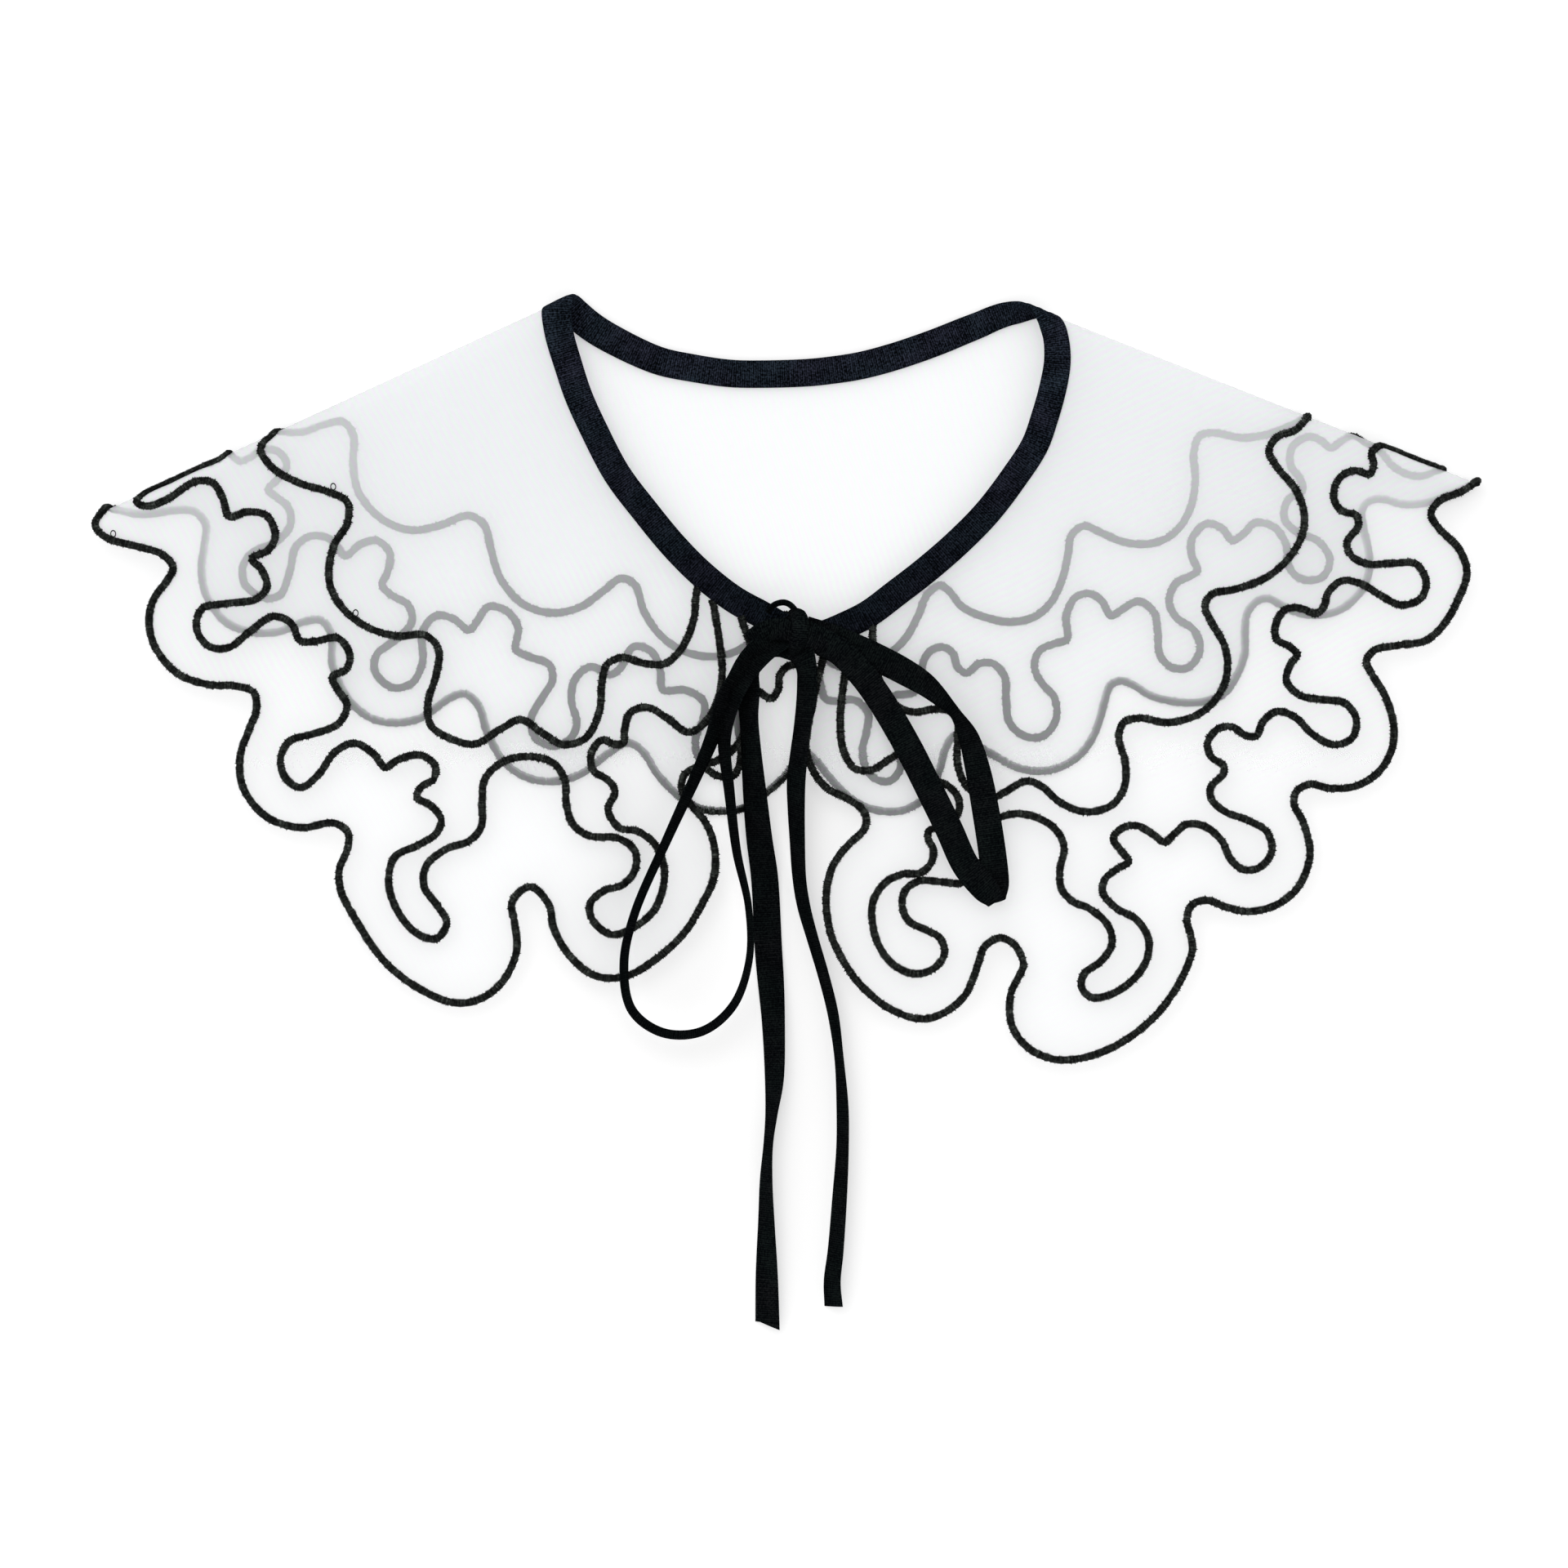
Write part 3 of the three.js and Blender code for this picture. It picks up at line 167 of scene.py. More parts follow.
MEANDER_ROUTE = {
    "left_front": [
        (-53, 152), (-51.5, 146), (-48, 125), (-45.5, 100), (-48, 82), (-57, 64), (-70, 56),
        (-85, 66), (-100, 74), (-112, 70), (-116, 58), (-117, 48), (-124, 47.5), (-132, 50.5),
        (-140, 41), (-139, 29), (-127, 20.5), (-123, 13), (-128, 0), (-120, -13), (-107, -15.5),
        (-95, -24), (-88, -39), (-88, -55), (-95, -73), (-112, -86.5), (-126, -90), (-139, -80),
        (-141, -68), (-131, -58.5), (-117, -54), (-108, -42), (-109, -29), (-121, -20.5),
        (-141, -19), (-153, -11), (-158, 3), (-159.5, 22), (-168, 34), (-187, 38.5), (-205, 34),
        (-217, 22), (-219, 5), (-219.5, -12), (-228, -22.5), (-244, -28), (-259, -40), (-261, -55),
        (-250, -71), (-244.5, -82), (-252, -93), (-265, -90), (-279, -75), (-286.5, -53),
        (-282, -34), (-266, -26), (-252, -17), (-248.5, -7), (-256, 3), (-266, 9), (-263, 16.5),
        (-254, 22), (-253, 32), (-264, 39.5), (-280, 36), (-289, 30.5), (-297, 40), (-311, 48),
        (-325, 42), (-337, 25.5), (-350, 16), (-361, 23), (-364.5, 37), (-358, 49.5), (-340, 55),
        (-323, 62), (-316.5, 75), (-324, 88), (-327, 96), (-317, 101.5), (-314.5, 112),
        (-323, 124), (-340, 121.5), (-350, 122), (-357, 135), (-370, 139.5), (-386, 129),
        (-402, 117), (-416, 118), (-425, 131), (-421, 145), (-402, 149), (-382, 152), (-374, 161),
        (-378, 173.5), (-385, 181), (-373, 187.5), (-368, 198), (-374, 212), (-388, 215),
        (-401, 211.5), (-406, 225), (-413, 236), (-426, 236.5), (-445, 224.5), (-460, 219),
        (-468, 222), (-463, 227.8), (-444, 237), (-424, 246.4), (-409, 252.6), (-402, 257.4),
    ],
    "back": [
        (-402, 257.4), (-395, 252.5), (-388, 255), (-378, 261), (-366, 258.5), (-361, 249),
        (-368, 239), (-374.5, 232), (-368, 226), (-360, 219), (-358.5, 206), (-368, 194.5),
        (-386, 186), (-393, 175), (-391, 163), (-378, 153.5), (-366, 155.5), (-359, 172),
        (-354, 191), (-342, 198.5), (-328, 195), (-318.5, 184), (-308, 192), (-296, 195),
        (-286.5, 186), (-288, 172), (-292, 163), (-286, 156), (-273, 148), (-270.5, 136),
        (-281, 124), (-296, 112), (-297, 100), (-285, 88.5), (-270, 92), (-262.5, 108),
        (-263, 128), (-253, 140.5), (-240, 138), (-229, 130), (-223.5, 136), (-215, 147),
        (-202, 144), (-193.5, 132), (-195, 116), (-186, 111), (-171, 105), (-168.5, 94),
        (-176, 81), (-184, 66), (-181, 52), (-168, 46), (-156, 51), (-151, 62), (-155, 80),
        (-152, 95), (-141, 103.5), (-126, 98), (-119, 103), (-110, 118), (-97, 114.5),
        (-90.5, 101), (-88.5, 87), (-72, 86.5), (-59, 78), (-59.5, 65), (-65, 51), (-62, 36),
        (-50, 25), (-37, 25), (-32, 40), (-34, 58), (-36, 72), (-32, 85), (-22, 87), (-10.5, 80.5),
        (-5, 87), (-4, 97), (2, 104), (13, 105), (22, 101), (25.5, 91), (29, 80.5), (38, 78.5),
        (50, 79.5), (60, 70), (59, 57), (56, 43), (59, 29), (67, 21.5), (76, 21), (83.5, 30),
        (81, 45), (74, 58), (71, 72), (78, 82), (92, 84.5), (99, 91), (99, 103), (104, 114),
        (113, 117.8), (121, 114), (125, 103), (131, 99), (141, 106), (151, 105.5), (159, 96),
        (160, 80), (162.5, 63), (174, 53), (187, 53.5), (196, 65), (195, 81), (186, 91.5),
        (180.5, 103), (184, 115), (195, 120.3), (204, 123.5), (203.5, 140), (210, 153.5),
        (220, 156.5), (229, 151.5), (236, 140.5), (244, 145), (256, 151), (267, 143), (270, 127),
        (271, 113), (279, 103.5), (292, 103), (300.5, 116), (296, 130), (283, 139.5), (278, 151),
        (283, 164), (293, 169), (298.5, 173.5), (294.5, 183.5), (295, 197), (305, 207), (316, 204),
        (324, 195), (332, 200), (341, 208), (355, 204), (363, 191), (364, 177.5), (374, 167),
        (389, 168.5), (394.5, 181), (386, 194.5), (370, 201.5), (361.5, 211), (364, 224),
        (374.5, 231.5), (373, 239.5), (366, 250), (367.5, 263), (379, 270), (388, 267.5),
        (395, 262), (402, 266.5), (410, 270), (420, 265), (431, 259), (440, 249), (449, 243.5),
        (460, 241.5), (470, 244.5), (475, 245.9),
    ],
    "right_front": [
        (48, 130), (46.5, 118), (43.5, 100), (41, 82), (39.7, 62), (42, 43), (50, 30), (62, 28.5),
        (76, 37), (87, 42), (98, 36), (108, 22), (118, 17), (125, 8.5), (125, -2), (116, -11.5),
        (104.5, -14.5), (103, -20), (107, -29), (105, -39), (97, -45.8), (85, -46.5), (72, -53),
        (63.5, -66), (63, -82), (68, -99), (79, -112.5), (93, -118.5), (107, -115), (115, -104),
        (112, -93), (101, -86.5), (90, -81), (84.5, -70), (87, -58), (97, -51.5), (112, -52),
        (127, -53), (139, -46), (143, -33), (142, -20), (147, -10), (155, -5.5), (168, -2.8),
        (184, -6.5), (196, -15), (201.5, -27), (198.5, -43), (199.5, -57), (208, -66.5),
        (220, -71.5), (233, -83.5), (236, -97), (228, -109.5), (216, -118.5), (214, -128),
        (221, -135.5), (235, -133.5), (251, -123), (261, -108.5), (262.5, -94), (254, -79.5),
        (239, -71), (229.5, -60), (231, -50), (241, -42), (248, -37.5), (243, -30), (237, -21),
        (243, -13.5), (254, -11.5), (266, -18), (274, -23.5), (281, -17.5), (290, -10.5),
        (303, -12), (315, -22), (322, -36), (331, -43.2), (343, -41.5), (351.5, -30), (348, -16),
        (334, -7.5), (318, -1.5), (308, 7.5), (307.5, 16.5), (316.5, 26), (316.5, 32), (308, 38),
        (305, 48), (312, 58), (322, 60), (333, 53.5), (340.5, 53.5), (345, 63.5), (355, 71),
        (368, 67), (381, 54.5), (396, 47), (409, 51.5), (412.5, 65), (404, 77), (388, 79.5),
        (372, 82.5), (362, 93), (364.5, 104.5), (369.5, 112), (364, 118), (355, 123), (354, 133),
        (361, 144.5), (372, 145.5), (383, 141.8), (388.5, 146), (392, 157), (402, 165.3),
        (416, 163), (430, 154.5), (445, 147.8), (459, 153), (462.5, 165), (455, 177.5), (440, 178),
        (420, 177.5), (408, 184), (405.5, 193), (413.5, 205), (412, 212.5), (401, 216),
        (395.5, 227), (401, 240.5), (412, 244.7), (421.5, 242), (424.5, 249), (423, 257.5),
        (429, 262.6), (437, 260.6), (450, 255.3), (462, 250.6), (475, 245.9),
    ],
}
INNER_ROUTE = {
    "left_front": [
        (-63, 163), (-64.5, 155), (-66, 138), (-74, 118), (-87, 105.5), (-103, 106), (-118, 110),
        (-129, 104.5), (-132.5, 91), (-134, 72), (-144, 52), (-160, 47), (-174, 54.5), (-191, 65),
        (-206, 58), (-224, 47.5), (-241, 51), (-256, 61), (-258, 78), (-252, 98), (-250.5, 116),
        (-260, 126), (-280, 125.5), (-300, 131), (-319, 145), (-329, 164), (-326, 190),
        (-316, 207), (-316, 222), (-330, 229.5), (-350, 235.5), (-369, 246), (-378.5, 259),
        (-376, 265.5), (-371.5, 269.2), (-367, 270.8),
    ],
    "back": [
        (-367, 270.8), (-350, 273.5), (-334, 279), (-321, 281), (-313, 272), (-313, 250),
        (-309, 230), (-293, 211), (-271, 202.5), (-250, 206), (-229, 213), (-218, 206),
        (-213, 188), (-206, 167), (-190, 149), (-169, 142.5), (-148, 147), (-131, 159),
        (-119, 167.5), (-109, 163), (-102, 143), (-88, 124), (-70, 113.5), (-52, 111), (-35, 115),
        (-20, 126), (-8, 138), (4, 141), (14, 132), (24, 115), (38, 104), (55, 103), (74, 112),
        (87, 124), (96, 140), (103, 156), (112, 162.5), (119, 158), (128, 147), (146, 139),
        (164, 136), (181, 140), (193, 151), (201, 168), (205, 186), (207, 198), (216, 205.5),
        (228, 201), (243, 194.5), (260, 192.3), (274, 195.5), (286, 205), (294, 220), (297, 238),
        (296, 258), (300, 270.5), (310, 273), (330, 269.5), (346, 271), (361, 276), (378, 284.3),
    ],
    "right_front": [
        (63.3, 135), (63, 126), (64, 112), (67, 97), (73, 83), (83, 73.5), (94, 70.5), (106, 72.5),
        (117, 72), (124, 65), (124.5, 50), (124.5, 33), (129, 20), (138, 11), (150, 8.5),
        (160, 13.5), (174, 20.7), (185, 17), (197, 6.5), (211, -0.5), (225, -1), (238, 5),
        (245.5, 18), (245.5, 35), (241, 52), (244.5, 63), (257, 66.2), (274, 63), (290, 65.5),
        (305, 73.5), (316, 88), (319.5, 103), (317, 119), (308, 135), (303, 147), (308, 155.5),
        (324, 159), (346, 167), (362, 180), (373, 198), (374.5, 214), (368, 231.5), (355, 247),
        (349, 259), (355, 269), (368, 274), (378, 284.3),
    ],
}
NECK_ROUTE = {
    "left_front": [
        (0, 131), (-17, 141), (-37, 152), (-60, 170), (-80, 190), (-101.5, 216), (-121.5, 242.6),
        (-137.5, 273), (-149.3, 299), (-157, 322.3), (-162.5, 341), (-165, 356.7), (-164.8, 363.8),
        (-163, 367.5),
    ],
    "back": [
        (-163, 367.5), (-158.5, 365.6), (-152.5, 360), (-141, 350.3), (-125, 340.5),
        (-92.3, 325.4), (-67.7, 320), (-40, 316), (-15.4, 315.5), (15.4, 316.5), (30.8, 318),
        (53.8, 321.5), (78.5, 328), (107.7, 338), (130, 347), (141, 351.4), (151, 355.8),
        (160, 358.9), (167.6, 360.6), (174.6, 362), (180.6, 362.1), (182.9, 361.4),
    ],
    "right_front": [
        (13, 122), (30, 127.5), (42, 132.5), (60, 141.5), (79.5, 156), (101.5, 173),
        (123.7, 192.2), (145.5, 214.3), (165, 239.8), (180, 263), (187.5, 284), (192.8, 303),
        (196, 320), (196.3, 330.6), (195.1, 341), (192.7, 348.6), (189.9, 355.1), (185.8, 359.7),
        (182.9, 361.4),
    ],
}

# Where the neck tape is drawn narrower or lies flatter: x, y, reach and change of its width
NECK_CHANGES = [(190, 346, 40, -0.2), (-163, 345, 60, 0.1)]

# Loose loops of thread, by cord
LOOSE_LOOPS = {
    "hem_cord": [(-484.5, 199)],
    "inner_line": [(-326, 233), (-310, 142)],
}

# Strips of the bow: x and y in thousandths of the span, on (1 over the collar, 0 on the surface),
# extra lift in tape widths, plan direction of the tape's width and its lean, both in degrees.
LEFT_LOOP = [
    (0, 130, 1, -0.1, 140, 38), (-15, 121, 1, 0.08, 142, 46), (-28.5, 107.5, 1, 0.16, 148, 52),
    (-36, 94, 1, 0.14, 152, 53), (-44, 80, 1, 0.08, 155, 54), (-53, 52, 1, 0, 157, 60),
    (-64.4, 25, 1, 0, 157, 66), (-85, -20, 1, 0, 157, 72), (-109, -75, 1, 0, 162, 74),
    (-116.5, -110, 1, 0, 178, 74), (-111, -144, 0.95, 0, 215, 74), (-88, -161, 0.9, 0, 258, 74),
    (-60, -160, 0.9, 0, 290, 74), (-37, -141, 0.95, 0, 325, 74), (-25.5, -108, 1, 0, 350, 76),
    (-26, -70, 1, 0, 367, 76), (-34.5, -30, 1, 0, 375, 72), (-40, 15, 1, 0, 372, 68),
    (-43.5, 48, 1, 0, 365, 63), (-41.5, 65, 1, 0.06, 356, 58), (-36, 81, 1, 0.14, 345, 55),
    (-28, 96, 1, 0.2, 335, 52), (-15, 112, 1, 0.15, 324, 46), (0, 124, 1, -0.1, 318, 40),
]
RIGHT_LOOP = [
    (14, 127, 1, 0.3, 64, 8), (39, 114, 1, 0.24, 50, 8), (54, 99, 1, 0.18, 37, 8),
    (67, 81.5, 1, 0.18, 31, 8), (87, 48, 1, 0.18, 29, 8), (106, 10.5, 1, 0.18, 28, 8),
    (118, -14, 1, 0.2, 30, 6), (130, -40, 1, 0.26, 36, 4), (143, -56, 1, 0.27, 36, 3),
    (150, -63.5, 1, 0.26, 28, 2), (152.5, -66.5, 1, 0.14, 21, 10), (152.3, -62, 1, 0, 14, 6),
    (151, -45, 1, 0, 8, 4), (148.5, -25, 1, 0, 8, 6), (144.5, 0, 1, 0, 12, 14),
    (138.5, 31, 1, 0, 16, 30), (131.8, 54, 1, 0, 22, 48), (122.5, 70, 1, 0, 33, 68),
    (112, 81, 1, 0, 45, 54), (101, 90.5, 1, 0, 54, 36), (88, 98.5, 1, 0, 60, 20),
    (72, 107, 1, 0, 62, 8), (55, 115, 1, 0, 66, 3), (36, 123, 1, 0, 72, 2), (14, 130, 1, 0, 76, 2),
]
LEFT_TAIL = [
    (7, 117, 0.9, -0.05, -100, 10), (-5, 119.5, 0.9, 0, -90, 24), (-15, 117, 0.9, 0, -68, 28),
    (-23, 110, 0.9, 0, -44, 32), (-27.3, 99, 0.9, 0, -16, 34), (-26.8, 86, 0.9, 0, 0, 36),
    (-26.5, 66, 0.95, 0, 4, 48), (-25, 45, 1, 0, 4, 46), (-22.5, 15, 0.8, 0, 5, 35),
    (-19, -20, 0.4, 0, 6, 22), (-15, -50, 0.1, 0, 6, 12), (-12.3, -100, 0, 0.03, 4, 8),
    (-9, -150, 0, 0.03, 3, 33), (-8.2, -195, 0, 0.03, 0, 48), (-10.4, -220, 0, 0.03, -4, 65),
    (-12.7, -242, 0, 0.03, -4, 71), (-14.2, -268, 0, 0.03, 0, 64), (-14, -300, 0, 0.03, 0, 54),
    (-13.6, -340, 0, 0.03, 0, 37), (-13.1, -373, 0, 0.04, 0, 30),
]
RIGHT_TAIL = [
    (9, 118, 1, -0.04, 8, 10), (13, 110, 1, 0, 8, 34), (15.2, 101, 1, 0, 2, 44),
    (15.4, 91, 1, 0, 0, 45), (14.5, 75, 1, 0, -4, 46), (11.5, 58, 1, 0, -4, 55),
    (9.5, 40, 1, 0, -4, 52), (7.5, 20, 0.85, 0, -2, 50), (7.5, 0, 0.6, 0, 0, 54),
    (8.2, -20, 0.35, 0, 2, 58), (9.8, -50, 0.1, 0, 6, 62), (13, -70, 0, 0.03, 14, 63),
    (19, -92, 0, 0.03, 16, 66), (27, -119, 0, 0.03, 15, 67), (34, -147, 0, 0.03, 12, 68),
    (38.5, -180, 0, 0.03, 6, 72), (41, -215, 0, 0.03, 0, 66), (41, -245, 0, 0.03, -2, 65),
    (39, -280, 0, 0.03, -4, 60), (36, -320, 0, 0.03, -6, 57), (33.6, -342, 0, 0.03, -2, 54),
    (34.7, -359.5, 0, 0.03, 3, 50),
]
KNOT_CROSS = [
    (9, 144, 1, 0.05, -10, 0), (9.8, 141.5, 1, 0.42, -8, 0), (11, 135, 1, 0.72, -4, 0),
    (10.5, 126, 1, 0.76, 6, 0), (8.5, 117, 1, 0.5, 12, 0), (8, 112, 1, 0.1, 10, 4),
]
KNOT_WRAP = [
    (-24, 121, 0.9, 0, 130, 8), (-17.5, 126.5, 1, 0.18, 118, 6), (-8, 129.8, 1, 0.46, 100, 2),
    (3, 129.2, 1, 0.58, 86, 0), (13, 126, 1, 0.52, 74, 0), (23, 122, 1, 0.38, 66, 0),
    (31, 117.8, 1, 0.28, 62, 0),
]
SMALL_TURN = [
    (-13, 142, 1, 0, 120, 64), (-9, 147, 1, 0, 110, 64), (-2, 149.5, 1, 0, 90, 64),
    (5, 146.5, 1, 0, 50, 64), (9, 140, 1, 0, 30, 64), (9, 132, 1, 0, 0, 64),
]


# Cloth surface


class Fold:
    """The straight line along which the cloth is folded over one shoulder."""

    def __init__(self, neck, tip):
        self.start = np.array(neck) * UNIT
        along = np.array(tip) * UNIT - self.start
        along /= np.linalg.norm(along)
        out = np.array([-along[1], along[0]])
        self.out = out if out[1] > 0 else -out

    def depth(self, plan):
        """How far each plan place lies inside the fold line."""
        return (self.start - plan) @ self.out


LEFT_FOLD = Fold((-163, 367.5), (-492, 216))
RIGHT_FOLD = Fold((203, 353.5), (500, 236))


def front_middle(depth):
    """Middle height of the front layer, which comes down from the fold to the open gap."""
    fallen = np.clip((depth - ROLL) / FALL_LENGTH, 0, 1)
    return BACK_MIDDLE + FOLD_GAP + (OPEN_GAP - FOLD_GAP) * fallen


def ripple(plan, depth):
    """Slight unevenness of the front layer, none near the folds."""
    x, y = plan[:, 0] / SPAN, plan[:, 1] / SPAN
    wave = np.sin(23 * x + 9 * y) * np.cos(17 * y - 6 * x) + 0.6 * np.sin(41 * y + 13 * x)
    fade = np.clip((depth - ROLL) / (8 * ROLL), 0, 1)
    return bpy.context.scene.collar.ripple * wave * fade


def on_cloth(plan, face, fold):
    """Places on the cloth's middle surface over plan places, with their outward normals.
    face is 1 on the front layer and -1 on the back layer."""
    inside = fold.depth(plan)
    depth = np.maximum(inside, 0)
    plan = plan + np.outer(np.minimum(inside, 0), fold.out)
    level = np.maximum(ROLL - depth, 0)
    rise = face * np.sqrt(ROLL**2 - level**2)
    points = np.column_stack([plan, ROLL_MIDDLE + rise])
    flat = depth >= ROLL
    if face > 0:
        points[:, 2] = np.where(flat, front_middle(depth) + ripple(plan, depth), points[:, 2])
    normals = np.column_stack([level[:, None] * fold.out, rise]) / ROLL
    return points, normals


def unroll(plan, face, fold):
    """Where plan places lie on the cloth spread flat in the plane of the back layer."""
    inside = np.maximum(fold.depth(plan), 0)
    part = np.arcsin(np.clip((ROLL - inside) / ROLL, 0, 1))
    rolled = ROLL - ROLL * (part if face < 0 else math.pi - part)
    flat = inside if face < 0 else 2 * ROLL - math.pi * ROLL - inside
    deep = np.where(inside < ROLL, rolled, flat)
    return plan + np.outer(fold.depth(plan) - deep, fold.out)


def fold_up(flat):
    """The folded cloth's places and outward normals for places on the cloth spread flat."""
    points, normals = np.zeros((2, len(flat), 3))
    right = flat[:, 0] >= 0
    for fold, mine in ((LEFT_FOLD, ~right), (RIGHT_FOLD, right)):
        spread = flat[mine]
        deep = fold.depth(spread)
        turn = np.clip((ROLL - deep) / ROLL, 0, math.pi)
        past = np.maximum(ROLL - math.pi * ROLL - deep, 0)
        depth = np.where(deep >= ROLL, deep, ROLL - ROLL * np.sin(turn) + past)
        plan = spread + np.outer(deep - depth, fold.out)
        height = ROLL_MIDDLE - ROLL * np.cos(turn)
        front = front_middle(depth) + ripple(plan, depth)
        points[mine] = np.column_stack([plan, np.where(past > 0, front, height)])
        normals[mine] = np.column_stack([np.outer(np.sin(turn), fold.out), -np.cos(turn)])
    return points, normals


# Routes


def spline(rows, steps):
    """Centripetal Catmull-Rom curve through the rows, steps places to a row."""
    rows = np.array(rows, float)
    ends = [2 * rows[0] - rows[1], *rows, 2 * rows[-1] - rows[-2]]
    out = []
    for a, b, c, d in zip(ends, ends[1:], ends[2:], ends[3:]):
        gaps = [max(np.linalg.norm(q - p), 1e-9) ** 0.5 for p, q in ((a, b), (b, c), (c, d))]
        start = (b - a) / gaps[0] - (c - a) / (gaps[0] + gaps[1]) + (c - b) / gaps[1]
        end = (c - b) / gaps[1] - (d - b) / (gaps[1] + gaps[2]) + (d - c) / gaps[2]
        for t in np.arange(steps) / steps:
            square, cube = t * t, t**3
            out.append(
                (2 * cube - 3 * square + 1) * b
                + (cube - 2 * square + t) * gaps[1] * start
                + (3 * square - 2 * cube) * c
                + (cube - square) * gaps[1] * end
            )
    out.append(rows[-1])
    return np.array(out)


def plan_route(rows, face, fold_of):
    """Fine plan places through rows, whose ends at a fold are moved onto its line."""
    places = np.array(rows, float) * UNIT
    for i in [0, -1] if face < 0 else [-1]:
        fold = fold_of(places[i][0])
        places[i] += fold.out * fold.depth(places[i])
    return spline(places, steps=12)


def route_parts(route):
    """The plan stretches of a route in travel order, each with its face and fold."""
    left = plan_route(route["left_front"], 1, lambda x: LEFT_FOLD)
    back = plan_route(route["back"], -1, lambda x: LEFT_FOLD if x < 0 else RIGHT_FOLD)
    right = plan_route(route["right_front"], 1, lambda x: RIGHT_FOLD)[::-1]
    middle = int(np.argmax(back[:, 0] >= 0))
    return [
        (left, 1, LEFT_FOLD),
        (back[1:middle], -1, LEFT_FOLD),
        (back[middle:], -1, RIGHT_FOLD),
        (right[1:], 1, RIGHT_FOLD),
    ]


def moved(points):
    """Marks the points of a line that don't lie on the point before."""
    return np.append(True, np.linalg.norm(np.diff(points, axis=0), axis=1) > 1e-7)


def spread_route(route):
    """A route on the cloth spread flat."""
    return np.vstack([unroll(*part) for part in route_parts(route)])


def evenly(points, extras, step):
    """Points along a line at an even step, with other columns carried along."""
    along = np.concatenate([[0], np.cumsum(np.linalg.norm(np.diff(points, axis=0), axis=1))])
    count = max(int(along[-1] / step), 2)
    at = np.linspace(0, along[-1], count + 1)
    mix = lambda table: np.column_stack([np.interp(at, along, column) for column in table.T])
    return at, mix(points), [mix(extra) for extra in extras]


def unit_rows(table):
    """The rows of a table as directions, each one long."""
    return table / np.linalg.norm(table, axis=1, keepdims=True)


def cross_frames(points, normals):
    """Outward and sideways directions along a line of points."""
    forward = unit_rows(np.gradient(points, axis=0))
    out = unit_rows(normals - np.sum(normals * forward, axis=1, keepdims=True) * forward)
    return out, np.cross(forward, out)


def cloth_line(route, step):
    """A route laid on the folded cloth as lengths, points, and outward and sideways directions."""
    points, normals = np.hstack([on_cloth(*part) for part in route_parts(route)])
    keep = moved(points)
    at, points, (normals,) = evenly(points[keep], [normals[keep]], step)
    return at, points, *cross_frames(points, normals)


# Meshes


def thread_places(at, across):
    """UV places of rings of points: length along the line and distance across it."""
    return np.stack(np.broadcast_arrays(at[:, None], across[None, :]), axis=-1).reshape(-1, 2)


def add_uvs(mesh, uvs):
    """A UV map in metres from one place for each vertex."""
    layer = mesh.uv_layers.new(name="Thread")
    corners = np.zeros(len(mesh.loops), int)
    mesh.loops.foreach_get("vertex_index", corners)
    layer.data.foreach_set("uv", np.asarray(uvs)[corners].ravel())


def add_object(name, points, faces, uvs):
    """A smooth mesh object at the origin, with its UV map."""
    mesh = bpy.data.meshes.new(name)
    mesh.from_pydata(np.asarray(points).tolist(), [], faces)
    mesh.validate()
    add_uvs(mesh, uvs)
    mesh.polygons.foreach_set("use_smooth", [True] * len(mesh.polygons))
    piece = bpy.data.objects.new(name, mesh)
    bpy.context.scene.collection.objects.link(piece)
    return piece


def sweep(rings, closed=False):
    """Faces of a tube through rings of points, capped at both ends or closed into a ring."""
    count, around = rings.shape[:2]
    corner = np.arange(count * around).reshape(count, around)
    ahead = np.roll(corner, -1, axis=1)
    if closed:
        first, second = corner, np.roll(corner, -1, axis=0)
        third, fourth = np.roll(ahead, -1, axis=0), ahead
    else:
        first, second, third, fourth = corner[:-1], corner[1:], ahead[1:], ahead[:-1]
    faces = np.stack([first, fourth, third, second], axis=-1).reshape(-1, 4).tolist()
    if not closed:
        faces.append(corner[0][::-1].tolist())
        faces.append(corner[-1].tolist())
    return faces


def dress(piece, nodes, material):
    """Gives a piece its material and its place in the frame, and hides the solids it stands for.
    """
    piece.data.materials.append(material)
    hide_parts(*nodes)
    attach(piece, "root")
    return piece


